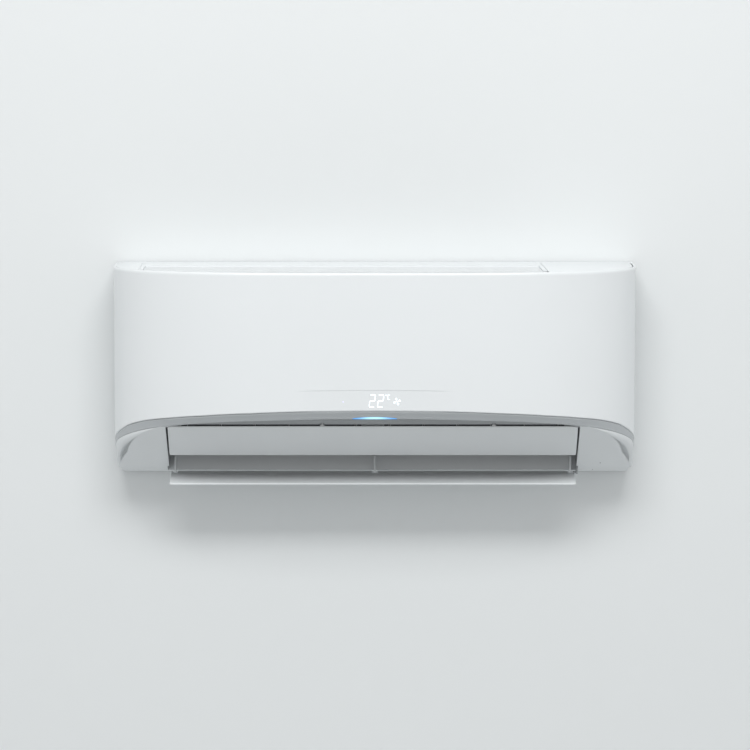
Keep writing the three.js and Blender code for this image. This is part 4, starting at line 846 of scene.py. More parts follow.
@dataclass
class EndCap:
    """A rounded lower corner of the casing, left (-1) or right (1) of the outlet."""

    side: int
    wall: float = 2.5
    edge_left: float = 304.1
    edge_right: float = 298.6
    lip_from: float = 62.0
    rear: float = 4.0
    seam: float = 0.35
    notch_height: float = 11.0
    corner_x: float = 374.6
    corner_round: float = 7.0
    ledge_in: float = 5.6
    skin: float = 0.3
    fillets: Pair = (3.2, 16.0)
    fillet_fade: Pair = (60.0, 112.0)
    fillet_shares: Pair = (0.6, 0.94)
    floor_shares: tuple[float, ...] = (0.0, 0.02, 0.25, 0.5, 0.75, 0.97, 1.0)
    side_shares: tuple[float, ...] = (0.3, 0.7, 0.95)
    pin_marks: tuple[Pair, ...] = ((333.2, 71.5), (323.2, 45.0))

    def inner(self, depth: float) -> float:
        """The x of the cap's edge at a depth: beside the duct's wall at the back, under it further out."""
        edge = self.edge_left if self.side < 0 else self.edge_right
        return edge if depth >= self.lip_from else edge + self.wall

    def outer_x(self, depth: float) -> float:
        """Half the body's width at a depth, inside the trim."""
        if depth <= PLAN.side_depth:
            return PLAN.trim_half_width()
        share = min(1.0, (depth - PLAN.side_depth) / PLAN.trim_reach())
        return PLAN.trim_half_width() * (1.0 - share ** 2) ** (1.0 / PLAN.power)

    def depths(self) -> list[float]:
        """Stations from the wall to where the cap runs out at the opening's corner."""
        share = (self.inner(PLAN.side_depth) / PLAN.trim_half_width()) ** PLAN.power
        end = PLAN.side_depth + PLAN.trim_reach() * math.sqrt(1.0 - share)
        back = [self.rear, self.rear + 0.6, self.rear + 2.0]
        middle = [mix(self.rear + 5.0, PLAN.side_depth, k / 16.0) for k in range(17)]
        front = [PLAN.side_depth + (end - PLAN.side_depth) * math.sin(math.pi / 2.0 * k / 30.0)
                 for k in range(1, 30)]
        return sorted([*back, *middle, self.lip_from - 0.1, self.lip_from, *front, end - 0.15])

    def section(self, depth: float) -> Ring:
        """The cap's closed section at a depth.

        Args:
            depth: The station's depth.

        Returns:
            The ring of points: along the underside, round the corner and up the side, then back inside.
        """
        inner = self.inner(depth)
        wide = self.outer_x(depth)
        base = PLAN.underside(depth)
        top = max(base + 0.3, PLAN.trim_edge(depth) - self.seam)
        soft = self.corner_round
        start = wide - (PLAN.trim_half_width() - self.corner_x) - soft
        outline = [(mix(inner, start, share), base) for share in self.floor_shares]
        outline += [(start + soft * sin, max(base, soft * (1.0 - cos)))
                    for cos, sin in quarter_turn(15.0, 15.0)]
        ledge = max(base, self.notch_height)
        faded = blend(*self.fillet_fade, depth)
        fillet = min(mix(*self.fillets, faded), max(0.2, (top - ledge) * mix(*self.fillet_shares, faded)))
        outline.append((wide - self.ledge_in, ledge))
        outline += [(wide - fillet + fillet * sin, ledge + fillet * (1.0 - cos))
                    for cos, sin in quarter_turn(15.0)]
        outline += [(wide, mix(ledge + fillet, top, share)) for share in self.side_shares]
        outline.append((wide - 0.25, top))
        thick = min(self.wall, max(0.1, (top - base) * 0.6))
        back = [(max(inner, x - thick), min(top, height + thick)) for x, height in reversed(outline)]
        back[0] = (max(inner, wide - thick), top)
        return [spot(self.side * max(inner, x), depth, min(top, height)) for x, height in [*outline, *back]]

    def build(self) -> list[bpy.types.Object]:
        """Builds the cap with its rear wall, and on the right two tiny moulding marks."""
        label = "left" if self.side < 0 else "right"
        form = Form().sweep([self.section(depth) for depth in self.depths()])
        inner, wide, soft = self.inner(self.rear), PLAN.trim_half_width(), self.corner_round
        start = self.corner_x - soft
        outline = [(inner, self.skin), (start, self.skin)]
        outline += [(start + soft * sin - self.skin, soft * (1.0 - cos) + self.skin)
                    for cos, sin in quarter_turn(30.0, 30.0)]
        top = PLAN.trim_edge(self.rear) - self.seam
        outline += [(wide - 1.0, self.notch_height + 0.5), (wide - 0.5, self.notch_height + 2.0),
                    (wide - 0.5, top), (inner, top)]
        verts = [form.bm.verts.new(spot(self.side * x, self.rear + 0.2, height)) for x, height in outline]
        bmesh.ops.translate(form.bm, verts=form.thicken(verts), vec=(0.0, -self.wall * MM, 0.0))
        name = f"end_cap_{label}"
        pieces = [form.piece(f"{name}_shell", HOUSING, SATIN_WHITE, [name], sharp=36.0)]
        if self.side > 0:
            pieces.append(self.marks())
        return pieces

    def marks(self) -> bpy.types.Object:
        """Two tiny dark pin marks on the cap's sloping face."""
        form = Form()
        for x, depth in self.pin_marks:
            base = PLAN.underside(depth)
            tilt = Matrix.Rotation(-math.atan2(PLAN.underside(depth + 1.0) - base, 1.0), 4, "X")
            place = Matrix.Translation(spot(x, depth, base)) @ tilt
            bmesh.ops.create_cone(form.bm, cap_ends=True, segments=14, radius1=0.9 * MM, radius2=1.1 * MM,
                                  depth=0.4 * MM, matrix=place)
        return form.piece("end_cap_right_marks", HOUSING, INNER_GREY)


@dataclass
class Casing:
    """Cabinet, top pieces, trim, end caps and the two screws under the trim."""

    trim: TrimBand = field(default_factory=TrimBand)
    caps: tuple[EndCap, EndCap] = field(default_factory=lambda: (EndCap(-1), EndCap(1)))

    def build(self) -> list[bpy.types.Object]:
        """Builds the casing's pieces."""
        pieces = [refined("cabinet", "moulding", SATIN_WHITE, 0.4),
                  refined("top_grille", "moulding", SATIN_WHITE, 0.3),
                  refined("top_cover_right", "moulding", SATIN_WHITE, 0.4), *self.trim.build()]
        for cap in self.caps:
            pieces += cap.build()
        screws = [refined(f"cabinet_screw_{label}", "head", STEEL, 0.25) for label in ("left", "right")]
        return [*pieces, *screws]


# ---------------------------------------------------------------------------
# Outlet
# ---------------------------------------------------------------------------


@dataclass
class UpperFlap:
    """The wide flap in the outlet: a thin blade with rounded edges, and a lug and a pin at each end.

    Its section has shares of the chord, each with millimetres inwards. Its end steps have distances from an
    end, each with the share of the thickness that is left there.
    """

    left: float = -301.2
    right: float = 295.7
    start: float = 2.0
    chord: float = 83.0
    pivot: Pair = (159.732, 85.0545)
    rest: float = -3.0
    corner: float = 4.0
    pin_radius: float = 2.5
    pin_reach: float = 4.6
    lug_radius: float = 4.1
    lug_width: float = 5.0
    middles: Pair = (1.6, 1.3)
    section: tuple[Pair, ...] = (
        (0.0, 1.7), (0.002, 0.9), (0.007, 0.3), (0.016, 0.0), (0.035, 0.0), (0.06, 0.0), (0.5, 0.0),
        (0.93, 0.0), (0.965, 0.0), (0.985, 0.1), (0.996, 0.6), (1.0, 1.2), (0.998, 1.8), (0.99, 2.4),
        (0.9, 2.9), (0.7, 3.8), (0.5, 4.5), (0.35, 4.9), (0.145, 4.9), (0.09, 4.4), (0.05, 3.6), (0.02, 2.6),
        (0.004, 2.1))
    end_steps: tuple[Pair, ...] = ((0.0, 0.55), (0.15, 0.78), (0.45, 0.92), (0.9, 0.99), (1.6, 1.0),
                                   (2.6, 1.0), (4.0, 1.0), (8.0, 1.0), (40.0, 1.0))
    body: str = "upper_flap"

    def ring(self, x: float, edge: float, shrink: float) -> Ring:
        """The section at an x, kept clear of the corners and drawn in at the very end.

        Args:
            x: The station.
            edge: Its distance from the nearest end.
            shrink: How much of the thickness is left there.

        Returns:
            The ring of points.
        """
        cut = 0.0
        if edge < self.corner:
            cut = self.corner - math.sqrt(max(0.0, self.corner ** 2 - (self.corner - edge) ** 2))
        ring = []
        for share, inward in self.section:
            along = min(max(share * self.chord, cut), self.chord - cut)
            inward = mix(mix(*self.middles, share), inward, shrink)
            ring.append(spot(x, *PLAN.under_point(self.start + along, inward)))
        return ring

    def build(self) -> list[bpy.types.Object]:
        """Builds the flap in its rest position."""
        stations = [(self.left + edge, edge, shrink) for edge, shrink in self.end_steps]
        stations += [(self.right - edge, edge, shrink) for edge, shrink in reversed(self.end_steps)]
        form = Form().sweep([self.ring(*station) for station in stations])
        for end, inwards in ((self.left, 1.0), (self.right, -1.0)):
            tip, far = end - inwards * self.pin_reach, end + inwards * self.lug_width
            soft, r = inwards * 0.4, self.lug_radius
            form.lathe([(end + soft / 2.0, 0.0), (end + soft / 2.0, r - 0.5), (end + soft * 1.5, r),
                        (far - soft, r), (far, r - 0.4), (far, 0.0)], *self.pivot, 32)
            form.lathe([(tip, 0.0), (tip, self.pin_radius - 0.4), (tip + soft, self.pin_radius),
                        (far - inwards, self.pin_radius), (far - inwards, 0.0)], *self.pivot, 24)
        pivot = spot(0.0, *self.pivot)
        turn = Matrix.Rotation(math.radians(self.rest), 4, "X")
        form.move(Matrix.Translation(pivot) @ turn @ Matrix.Translation(-pivot))
        return [form.piece("upper_flap_blade", self.body, SATIN_WHITE, ["upper_flap"], sharp=45.0)]


@dataclass
class Outlet:
    """Duct, drain pan, flaps, vanes, link bars and the flap motors."""

    upper: UpperFlap = field(default_factory=UpperFlap)
    vane_count: int = 12

    def vanes(self) -> list[bpy.types.Object]:
        """The twelve vertical vanes with rounded edges."""
        names = [f"vane_{k:02d}" for k in range(1, self.vane_count + 1)]
        return [refined(name, "blade", FAN_GREY, 0.3, body=name) for name in names]

    def motors(self) -> list[bpy.types.Object]:
        """The two flap motors, each with a can, a lid and a connector."""
        pieces = []
        for source in ("flap_motor_upper", "flap_motor_lower"):
            pieces.append(refined(source, "can", SATIN_WHITE, 0.5))
            low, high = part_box(source)
            centre = (low + high) / 2.0
            depth, height, end = -centre.y / MM, centre.z / MM + PLATE_CENTRE, high.x / MM
            lid = [(end, 0.0), (end, 8.0), (end + 0.8, 7.6), (end + 0.8, 0.0)]
            form = Form().lathe(lid, depth, height, 28)
            form.block((end - 9.0, end - 2.0), (depth + 9.0, depth + 14.0), (height - 4.5, height + 4.5), 0.4)
            pieces.append(form.piece(f"{source}_lid", HOUSING, STEEL))
        return pieces

    def build(self) -> list[bpy.types.Object]:
        """Builds the outlet's pieces."""
        links = ("vane_link_left", "vane_link_right")
        return [refined("outlet_duct", "moulding", INNER_GREY, 0.4),
                refined("drain_pan", "moulding", INNER_GREY, 0.4),
                refined("drain_plug", "cap", RUBBER, 0.5),
                *self.upper.build(),
                refined("lower_flap", "blade", SATIN_WHITE, 0.3, body="lower_flap"), *self.vanes(),
                *[refined(name, "bar", FAN_GREY, 0.3, body=name) for name in links],
                *self.motors()]


# ---------------------------------------------------------------------------
# Fan and motor
# ---------------------------------------------------------------------------


@dataclass
class AirMover:
    """The cross-flow fan on its shafts, its bearing, and the motor in its clamp."""

    depth: float = 84.0
    height: float = 133.0
    radius: float = 46.0
    inner_radius: float = 34.5
    left: float = -300.0
    right: float = 240.0
    blades: int = 34
    discs: int = 9
    disc: float = 2.4
    hub_radius: float = 12.0
    hub_bore: float = 4.3
    hub_lengths: Pair = (22.0, 26.0)
    blade_lean: float = 0.30
    blade_edge: float = 0.25
    blade_swell: float = 0.75
    shaft_radius: float = 4.0
    motor_left: float = 262.0
    motor_right: float = 320.0
    motor_radius: float = 36.0

    def blade_section(self) -> list[Pair]:
        """One blade's section: a curved strip that is thickest in its middle."""
        front, back = [], []
        steps = 6
        for k in range(steps + 1):
            part = k / steps
            r = mix(self.inner_radius, self.radius - 0.6, part)
            lean = self.blade_lean * part * part
            half = self.blade_edge + self.blade_swell * math.sin(math.pi * min(0.999, max(0.001, part)))
            for side, points in ((-1, front), (1, back)):
                a = lean + side * half / r
                points.append((self.depth + r * math.cos(a), self.height + r * math.sin(a)))
        return [*front, *reversed(back)]

    def impeller(self) -> bpy.types.Object:
        """The ring of blades between its discs, with a hub at each end."""
        form = Form()
        form.prism(self.blade_section(), self.left + 1.0, self.right - 1.0)
        bmesh.ops.spin(form.bm, geom=form.bm.faces[:] + form.bm.edges[:] + form.bm.verts[:],
                       cent=spot(0.0, self.depth, self.height), axis=(1.0, 0.0, 0.0),
                       angle=math.tau * (self.blades - 1) / self.blades, steps=self.blades - 1,
                       use_duplicate=True, use_merge=False)
        for k in range(self.discs):
            x = mix(self.left, self.right - self.disc, k / (self.discs - 1))
            hole = self.shaft_radius + 0.3 if k in (0, self.discs - 1) else self.inner_radius - 3.0
            form.lathe(turned(x, x + self.disc, hole, self.radius, 0.5), self.depth, self.height, 56)
        left_hub, right_hub = self.hub_lengths
        for x0, x1 in ((self.left, self.left + left_hub), (self.right - right_hub, self.right)):
            form.lathe(turned(x0, x1, self.hub_bore, self.hub_radius, 0.8), self.depth, self.height, 28)
        return form.piece("cross_flow_impeller", "fan", FAN_GREY, ["cross_flow_fan"])

    def shaft(self, source: str, name: str) -> bpy.types.Object:
        """A ground shaft with chamfered ends, as long as its CAD node."""
        low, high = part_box(source)
        profile = turned(low.x / MM, high.x / MM, 0.0, self.shaft_radius, 0.6)
        return Form().lathe(profile, self.depth, self.height, 28).piece(name, "fan", STEEL, [source])

    def motor(self) -> bpy.types.Object:
        """The motor's can: two pressed bells round a seam, with a stepped boss."""
        x0, x1, r = self.motor_left, self.motor_right, self.motor_radius
        middle = (x0 + x1) / 2.0
        boss = [(20.0, 0.0), (20.0, 4.3), (-8.0, 4.3), (-8.0, 12.6), (-6.8, 14.0), (-1.2, 14.0), (-0.6, 14.6),
                (0.0, 17.0)]
        bell = [(0.0, r - 8.0), (1.6, r - 4.0), (5.0, r - 0.8), (8.0, r)]
        seam = [(-1.6, r), (-1.0, r - 0.7), (1.0, r - 0.7), (1.6, r)]
        rear = [(0.0, 15.0), (-1.2, 14.0), (-1.2, 6.0), (0.0, 5.0), (0.0, 0.0)]
        profile = [(x0 + along, out) for along, out in [*boss, *bell]]
        profile += [(middle + along, out) for along, out in seam]
        profile += [(x1 - along, out) for along, out in reversed(bell)]
        profile += [(x1 + along, out) for along, out in rear]
        form = Form().lathe(profile, self.depth, self.height, 64)
        return form.piece("fan_motor_can", HOUSING, ZINC, ["fan_motor"], sharp=30.0)

    def build(self) -> list[bpy.types.Object]:
        """Builds the fan and motor."""
        return [self.impeller(), self.shaft("fan_shaft", "fan_stub_shaft"),
                self.shaft("motor_shaft", "fan_motor_shaft"), self.motor(),
                refined("bearing_bush", "ring", RUBBER, 0.5),
                refined("motor_clamp", "strap", INNER_GREY, 0.4)]


# ---------------------------------------------------------------------------
# Heat exchanger and filters
# ---------------------------------------------------------------------------


@dataclass
class HeatExchanger:
    """Three fin packs with their tubes and return bends, the end plates, and the two pipes."""

    thickness: float = 24.0
    left: float = -305.0
    right: float = 238.5
    plate: float = 1.4
    fin_pitch: float = 2.6
    fin_thickness: float = 0.4
    tube_radius: float = 3.5
    pair_pitch: float = 40.0
    bend_reach: float = 12.0
    pipe_depth: float = 23.5
    pipe_bend: float = 18.0
    plate_outline: tuple[Pair, ...] = (
        (137.0, 124.0), (161.0, 124.0), (162.0, 218.0), (105.0, 286.0), (75.0, 277.0), (18.0, 194.0),
        (36.0, 184.0), (89.0, 246.0), (97.0, 250.0), (137.0, 200.0))
    centre_lines: dict[str, tuple[Pair, Pair]] = field(default_factory=lambda: {
        "front": ((149.0, 124.0), (149.0, 204.0)),
        "upper": ((150.0, 214.0), (97.0, 276.0)),
        "rear": ((78.0, 268.0), (27.0, 190.0))})

    def corners(self, name: str) -> list[Pair]:
        """The side view of one fin pack."""
        (d0, h0), (d1, h1) = self.centre_lines[name]
        length = math.hypot(d1 - d0, h1 - h0)
        d, h = ((h1 - h0) * self.thickness / (2.0 * length), (d0 - d1) * self.thickness / (2.0 * length))
        return [(d0 + d, h0 + h), (d1 + d, h1 + h), (d1 - d, h1 - h), (d0 - d, h0 - h)]

    def fins(self, name: str) -> bpy.types.Object:
        """One fin pack: thin sheets side by side."""
        form = Form()
        start, end = self.left + 0.2, self.right - 0.2 - self.fin_thickness
        count = round((end - start) / self.fin_pitch)
        for k in range(count + 1):
            x = mix(start, end, k / count)
            form.prism(self.corners(name), x, x + self.fin_thickness)
        return form.piece(f"fin_pack_{name}", HOUSING, ALUMINIUM, [f"evaporator_{name}"])

    def pairs(self) -> list[tuple[Pair, Pair]]:
        """The tube centres, in pairs that a return bend joins."""
        found = []
        for (d0, h0), (d1, h1) in self.centre_lines.values():
            count = int(math.hypot(d1 - d0, h1 - h0) // self.pair_pitch)
            for i in range(count):
                shares = [(i + part) / count for part in (0.25, 0.75)]
                found.append(tuple((mix(d0, d1, s), mix(h0, h1, s)) for s in shares))
        return found

    def bend(self, form: Form, face: float, side: int, pair: tuple[Pair, Pair]) -> None:
        """Adds a return bend between two tube ends.

        Args:
            form: The form that gets it.
            face: The x where the tubes leave the end plate.
            side: -1 on the left, 1 on the right.
            pair: The two tube centres.
        """
        (d0, h0), (d1, h1) = pair
        reach, steps = self.bend_reach - 0.5, 12
        route = [spot(face - side * 1.0, d0, h0)]
        for k in range(steps + 1):
            a = math.pi * k / steps
            part = (1.0 - math.cos(a)) / 2.0
            out = reach * math.sin(a) ** 0.8 if 0 < k < steps else 0.0
            route.append(spot(face + side * out, mix(d0, d1, part), mix(h0, h1, part)))
        route.append(spot(face - side * 1.0, d1, h1))
        form.tube(route, self.tube_radius, 14)

    def end_plates(self) -> list[bpy.types.Object]:
        """The two end plates with their bends, and the straight tubes between them."""
        pieces = []
        for side, label in ((-1, "left"), (1, "right")):
            face = self.left - 0.3 if side < 0 else self.right + 0.3
            outer = face + side * self.plate
            plate = Form().prism(self.plate_outline, min(face, outer), max(face, outer), 0.3)
            bends = Form()
            pairs = self.pairs() if side < 0 else self.pairs()[:-1]
            for pair in pairs:
                self.bend(bends, outer, side, pair)
                for depth, height in pair:
                    tip = outer + side * 1.6
                    plate.lathe([(outer, 3.6), (outer, 5.2), (tip, 4.4), (tip, 3.6)], depth, height, 16)
            pieces.append(plate.piece(f"coil_end_plate_{label}", HOUSING, ZINC, [f"coil_plate_{label}"]))
            pieces.append(bends.piece(f"return_bends_{label}", HOUSING, COPPER, sharp=50.0))
        tubes = Form()
        for pair in self.pairs():
            for depth, height in pair:
                tubes.lathe([(self.left, 0.0), (self.left, self.tube_radius - 0.2),
                             (self.right, self.tube_radius - 0.2), (self.right, 0.0)], depth, height, 12)
        pieces.append(tubes.piece("coil_tubes", HOUSING, COPPER))
        return pieces

    def pipe(self, source: str, x: float, end: float, rise: float, share: float,
             radius: float) -> bpy.types.Object:
        """A pipe from the rear fin pack round to the channel behind the outlet.

        Args:
            source: The CAD node that it stands for.
            x: Where it turns down.
            end: The x of its free end.
            rise: The height of its lower run.
            share: Where it leaves the rear fin pack, as a share of the pack's length.
            radius: Its radius.

        Returns:
            The finished object.
        """
        (d0, h0), (d1, h1) = self.centre_lines["rear"]
        start = (mix(d0, d1, share), mix(h0, h1, share))
        corners = [spot(self.right + 2.0, *start), spot(x, *start), spot(x, self.pipe_depth, rise),
                   spot(end, self.pipe_depth, rise)]
        route = [corners[0]]
        bend = self.pipe_bend * MM
        for i in (1, 2):
            before = corners[i] + (corners[i - 1] - corners[i]).normalized() * bend
            after = corners[i] + (corners[i + 1] - corners[i]).normalized() * bend
            for k in range(11):
                t = k / 10.0
                route.append(before * (1 - t) ** 2 + corners[i] * 2 * t * (1 - t) + after * t ** 2)
        route.append(corners[-1])
        return Form().tube(route, radius, 24).piece(f"{source}_run", HOUSING, COPPER, [source], sharp=50.0)

    def build(self) -> list[bpy.types.Object]:
        """Builds the heat exchanger's pieces."""
        return [*[self.fins(name) for name in self.centre_lines], *self.end_plates(),
                self.pipe("suction_pipe", 350.0, 205.0, 24.0, 0.875, 6.35),
                self.pipe("liquid_pipe", 335.0, 190.0, 46.0, 0.625, 3.2),
                refined("flare_nut_large", "hex", BRASS, 0.6, 3),
                refined("flare_nut_small", "hex", BRASS, 0.5, 3),
                refined("air_sensor", "bead", RUBBER, 1.0, 3)]


@dataclass
class AirFilter:
    """A filter: a moulded frame with four columns of windows and a woven net across them."""

    label: str
    left: float
    right: float
    low: float = 140.4
    rib: float = 2.6
    rib_width: float = 4.0
    frame_width: float = 7.0
    columns: int = 4
    mesh_pitch: float = 5.2
    wire: float = 0.45
    bars: tuple[Pair, ...] = ((140.4, 148.0), (180.0, 184.0), (224.0, 228.0), (258.0, 262.0), (297.0, 300.0))

    def route(self) -> list[Pair]:
        """The filter's centre line in side view, from its lower edge to the rear."""
        corners = [(167.0, self.low), (169.0, 218.0), (163.0, 230.0), (115.0, 290.0), (103.0, 296.0),
                   (47.0, 298.0)]
        points: list[Pair] = []
        for (d0, h0), (d1, h1) in zip(corners, corners[1:]):
            count = max(1, round(math.hypot(d1 - d0, h1 - h0) / self.mesh_pitch))
            points += [(mix(d0, d1, k / count), mix(h0, h1, k / count)) for k in range(count)]
        return [*points, corners[-1]]

    def band(self, points: Sequence[Pair], x0: float, x1: float, form: Form) -> None:
        """Adds a strip of the frame that follows the route from x0 to x1."""
        outer, inner = [], []
        for i, point in enumerate(points):
            before, after = points[max(i - 1, 0)], points[min(i + 1, len(points) - 1)]
            length = math.hypot(after[0] - before[0], after[1] - before[1])
            across = ((after[1] - before[1]) / length, -(after[0] - before[0]) / length)
            for side, found in ((1, outer), (-1, inner)):
                half = side * self.rib / 2.0
                found.append((point[0] + across[0] * half, point[1] + across[1] * half))
        form.prism([*outer, *reversed(inner)], x0, x1, 0.35)

    def moulding(self) -> bpy.types.Object:
        """The frame: upright bands between the columns and cross bars over them."""
        form = Form()
        points = self.route()
        pitch = (self.right - self.left - 2.0 * self.frame_width + self.rib_width) / self.columns
        edges = [(self.left, self.left + self.frame_width), (self.right - self.frame_width, self.right)]
        edges += [(self.left + self.frame_width + pitch * k - self.rib_width,
                   self.left + self.frame_width + pitch * k) for k in range(1, self.columns)]
        for x0, x1 in edges:
            self.band(points, x0, x1, form)
        for low, high in self.bars:
            span = [point for point in points if low - 2.6 <= point[1] <= high + 2.6]
            if len(span) > 1:
                self.band(span[:6], self.left + 1.0, self.right - 1.0, form)
        return form.piece(f"filter_frame_{self.label}", HOUSING, NET_DARK, [f"air_filter_{self.label}"])

    def net(self) -> bpy.types.Object:
        """The woven net: a fine grid turned into wires."""
        form = Form()
        points = self.route()
        count = round((self.right - self.left - 2.0) / self.mesh_pitch)
        verts = [form.bm.verts.new(spot(self.left + 1.0, *point)) for point in points]
        edges = [form.bm.edges.new(pair) for pair in zip(verts, verts[1:])]
        bmesh.ops.spin(form.bm, geom=[*verts, *edges], cent=(0.0, 0.0, 0.0), axis=(1.0, 0.0, 0.0),
                       dvec=((self.right - self.left - 2.0) / count * MM, 0.0, 0.0), angle=0.0, steps=count,
                       use_merge=False, use_duplicate=False)
        bmesh.ops.recalc_face_normals(form.bm, faces=form.bm.faces)
        bmesh.ops.wireframe(form.bm, faces=form.bm.faces[:], thickness=self.wire * MM, use_boundary=True,
                            use_even_offset=True, use_replace=True)
        return form.piece(f"filter_net_{self.label}", HOUSING, NET_DARK)

    def build(self) -> list[bpy.types.Object]:
        """Builds the frame and its net."""
        return [self.moulding(), self.net()]


# ---------------------------------------------------------------------------
# Wall side and controls
# ---------------------------------------------------------------------------


@dataclass
class WallSide:
    """The mounting plate with its pressed beads, and the rear chassis."""

    bead_rows: tuple[float, ...] = (92.0, 138.0, 190.0, 236.0)
    bead_reach: float = 285.0
    bead_radius: float = 3.4
    middle_bead: float = 75.0
    bead_gap_end: float = 110.0
    bead_end: tuple[Pair, ...] = ((0.0, 0.0), (0.8, 0.6), (2.4, 0.9), (5.0, 1.0))

    def beads(self) -> bpy.types.Object:
        """Long pressed beads that stiffen the sheet, on the side away from the wall."""
        form = Form()
        for height in self.bead_rows:
            for x0, x1 in ((-self.bead_reach, -self.bead_gap_end), (-self.middle_bead, self.middle_bead),
                           (self.bead_gap_end, self.bead_reach)):
                rise = [(along, share * self.bead_radius) for along, share in self.bead_end]
                profile = [(x0 + along, r) for along, r in rise]
                profile += [(x1 - along, r) for along, r in reversed(rise)]
                form.lathe(profile, 0.0, height, 20)
        bmesh.ops.scale(form.bm, vec=(1.0, 0.75, 1.0), verts=form.bm.verts)
        bmesh.ops.bisect_plane(form.bm, geom=form.bm.verts[:] + form.bm.edges[:] + form.bm.faces[:],
                               plane_co=spot(0.0, 1.0, 0.0), plane_no=(0.0, 1.0, 0.0), clear_outer=True)
        bmesh.ops.holes_fill(form.bm, edges=form.bm.edges)
        return form.piece("mounting_plate_beads", HOUSING, ZINC)

    def build(self) -> list[bpy.types.Object]:
        """Builds the wall side's pieces."""
        return [refined("mounting_plate", "sheet", ZINC, 0.25), self.beads(),
                refined("rear_chassis", "moulding", SATIN_WHITE, 0.4)]


@dataclass
class Controls:
    """Control box and cover, the boards with their parts, the display lens and the manual button."""

    button_radius: float = 4.0
    board_face: float = 70.0

    def button(self) -> bpy.types.Object:
        """The push button: a stem with a rounded, slightly dished face."""
        low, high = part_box("manual_button")
        centre = (low + high) / 2.0
        form = Form()
        made = bmesh.ops.create_cone(form.bm, cap_ends=True, segments=32, radius1=self.button_radius * MM,
                                     radius2=self.button_radius * MM, depth=high.y - low.y,
                                     matrix=Matrix.Translation(centre) @ Matrix.Rotation(math.pi / 2, 4, "X"))
        face = min((f for v in made["verts"] for f in v.link_faces if len(f.verts) > 4),
                   key=lambda f: f.calc_center_median().y)
        rim = bmesh.ops.inset_region(form.bm, faces=[face], thickness=1.2 * MM, depth=0.0)
        inner = bmesh.ops.inset_region(form.bm, faces=[face], thickness=0.6 * MM, depth=-0.4 * MM)
        rounded = [edge for item in (rim, inner) for f in item["faces"] for edge in f.edges
                   if edge.calc_face_angle(0.0) > math.radians(60.0)]
        form.round_edges(set(rounded), 0.5, 3)
        return form.piece("manual_button_cap", "manual_button", SATIN_WHITE, ["manual_button"])

    def board_parts(self) -> bpy.types.Object:
        """Capacitors, a connector row and chips on the main board."""
        low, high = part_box("main_board")
        left, right = low.x / MM, high.x / MM
        base, top = low.z / MM + PLATE_CENTRE, high.z / MM + PLATE_CENTRE
        face, form = self.board_face, Form()
        for k in range(4):
            form.block((left + 6.0 + 11.0 * k, left + 14.0 + 11.0 * k), (face, face + 8.0),
                       (base + 5.0, base + 11.0), 0.4)
        for x, height, size in ((left + 20.0, base + 28.0, 12.0), (right - 22.0, base + 34.0, 9.0)):
            form.block((x, x + size), (face, face + 2.0), (height, height + size), 0.3)
        for x, height in ((right - 14.0, top - 30.0), (right - 14.0, top - 46.0)):
            bmesh.ops.create_cone(form.bm, cap_ends=True, segments=24, radius1=5.0 * MM, radius2=5.0 * MM,
                                  depth=18.0 * MM, matrix=Matrix.Translation(spot(x, face + 9.0, height))
                                  @ Matrix.Rotation(math.pi / 2, 4, "X"))
        return form.piece("main_board_parts", HOUSING, RUBBER)

    def build(self) -> list[bpy.types.Object]:
        """Builds the controls' pieces."""
        return [refined("control_box", "moulding", INNER_GREY, 0.5),
                refined("control_cover", "sheet", ZINC, 0.4),
                refined("main_board", "sheet", BOARD, 0.3), self.board_parts(),
                refined("display_board", "sheet", BOARD, 0.3),
                refined("display_lens", "window", LENS, 0.4), self.button()]


# ---------------------------------------------------------------------------
# Studio
# ---------------------------------------------------------------------------


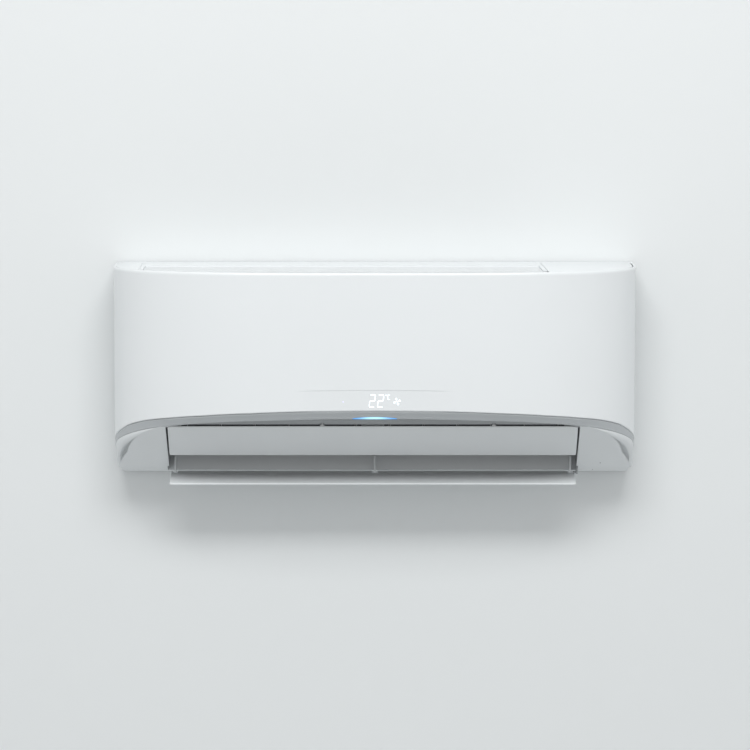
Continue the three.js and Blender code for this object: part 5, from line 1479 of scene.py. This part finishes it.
@dataclass
class Studio:
    """A pale wall and floor, soft light from above, and the camera."""

    wall_colour: Colour = (0.778, 0.800, 0.803)
    floor_colour: Colour = (0.55, 0.56, 0.565)
    floor_height: float = -1.35
    hole_reach: Pair = (0.366, 0.140)
    wall_gap: float = 0.0006
    matt: float = 0.85
    shine: float = 0.2
    wall_reach: Pair = (4.0, 3.2)
    lens: float = 201.6
    camera_place: Place = (0.0005, -6.2273, 0.6328)
    camera_tilt: float = 83.992
    lamp_place: Place = (0.0, -2.8, 2.55)
    lamp_aim: Place = (0.0, -0.1, 0.0)
    lamp_size: Pair = (2.6, 1.0)
    lamp_power: float = 80.0
    sky_strength: float = 0.64
    sky_colours: tuple[Colour, ...] = ((0.62, 0.635, 0.64), (1.16, 1.17, 1.175), (0.90, 0.91, 0.915))
    ground_colour: Colour = (0.80, 0.83, 0.84)

    def surface(self, name: str, colour: Colour, see_through: bool) -> bpy.types.Material:
        """A matt surface.

        Args:
            name: Its name.
            colour: Its colour.
            see_through: Whether it can't be seen from behind.

        Returns:
            The material.
        """
        made, tree, shader = principled(name)
        feed(tree, shader, {"Base Color": (*colour, 1.0), "Roughness": self.matt,
                            "Specular IOR Level": self.shine})
        if see_through:
            behind = node(tree, "NewGeometry").outputs["Backfacing"]
            choose(tree, behind, shader, node(tree, "BsdfTransparent"), "Material Output")
        return made

    def wall(self) -> None:
        """The wall, with an opening behind the unit so that its back is lit in views from there."""
        form = Form()
        reach_x, reach_z = self.wall_reach
        hole_x, hole_z = self.hole_reach
        back = self.wall_gap
        inner = [form.bm.verts.new((x, back, z)) for x, z in
                 ((-hole_x, -hole_z), (hole_x, -hole_z), (hole_x, hole_z), (-hole_x, hole_z))]
        edges = [form.bm.edges.new(pair) for pair in zip(inner, inner[1:] + inner[:1])]
        made = bmesh.ops.extrude_edge_only(form.bm, edges=edges)["geom"]
        for vert in fresh_verts(made):
            vert.co = (math.copysign(reach_x, vert.co.x), back, math.copysign(reach_z, vert.co.z))
        for face in form.bm.faces:
            face.normal_update()
            if face.normal.y > 0.0:
                face.normal_flip()
        form.finished("wall", self.surface("wall_paint", self.wall_colour, True))

    def floor(self) -> None:
        """The floor in front of the wall and behind it."""
        form = Form()
        bmesh.ops.create_grid(form.bm, x_segments=1, y_segments=1, size=1.0,
                              matrix=Matrix.Translation((0.0, 0.0, self.floor_height)) @ Matrix.Scale(9.0, 4))
        form.finished("floor", self.surface("floor_paint", self.floor_colour, False))

    def lamp(self) -> None:
        """A soft rectangular lamp above and in front, which faces the unit."""
        light = bpy.data.lights.new("overhead", "AREA")
        light.shape = "RECTANGLE"
        light.size, light.size_y = self.lamp_size
        light.energy = self.lamp_power
        made = in_scene("overhead", light)
        made.location = self.lamp_place
        aim = Vector(self.lamp_aim) - Vector(self.lamp_place)
        made.rotation_euler = aim.to_track_quat("-Z", "Y").to_euler()

    def sky(self) -> None:
        """A pale sky, brighter overhead, that the camera sees as a plain pale ground."""
        world = bpy.data.worlds.new("sky")
        world.use_nodes = True
        bpy.context.scene.world = world
        tree = world.node_tree
        light = tree.nodes["Background"]
        axes = node(tree, "SeparateXYZ", Vector=node(tree, "TexCoord").outputs["Generated"])
        rise = node(tree, "MapRange", Value=axes.outputs["Z"])
        feed(tree, rise, {"From Min": -0.9, "From Max": 0.9})
        colour = ramp(tree, rise.outputs["Result"], list(zip((0.0, 0.5, 1.0), self.sky_colours)))
        feed(tree, light, {"Strength": self.sky_strength, "Color": colour})
        seen = node(tree, "Background", Color=(*self.ground_colour, 1.0))
        choose(tree, node(tree, "LightPath").outputs["Is Camera Ray"], light, seen, "World Output")

    def camera(self) -> None:
        """The long lens that the picture was taken with, a little above the unit."""
        data = bpy.data.cameras.new("view")
        data.lens = self.lens
        data.sensor_width = 36.0
        data.clip_end = 60.0
        made = in_scene("view", data)
        made.location = self.camera_place
        made.rotation_euler = (math.radians(self.camera_tilt), 0.0, 0.0)
        bpy.context.scene.camera = made

    def build(self) -> None:
        """Sets up the studio."""
        bpy.context.scene.view_settings.view_transform = "Standard"
        self.wall()
        self.floor()
        self.lamp()
        self.sky()
        self.camera()


def report(label: str, pieces: Iterable[bpy.types.Object]) -> None:
    """Logs each piece's name and size in faces."""
    for made in pieces:
        log.info("%s: %s, %d faces", label, made.name, len(made.data.polygons))


def main() -> None:
    """Builds the studio and every piece."""
    logging.basicConfig(level=logging.INFO, format="%(message)s")
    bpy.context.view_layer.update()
    Studio().build()
    parts: list[tuple[str, Callable[[], list[bpy.types.Object]]]] = [
        ("front panel", FrontPanel().build), ("casing", Casing().build), ("outlet", Outlet().build),
        ("fan", AirMover().build), ("heat exchanger", HeatExchanger().build),
        ("left filter", AirFilter("left", -289.0, -9.0).build),
        ("right filter", AirFilter("right", 9.0, 235.0).build), ("wall side", WallSide().build),
        ("controls", Controls().build)]
    for label, build in parts:
        report(label, build())


if __name__ == "__main__":
    main()
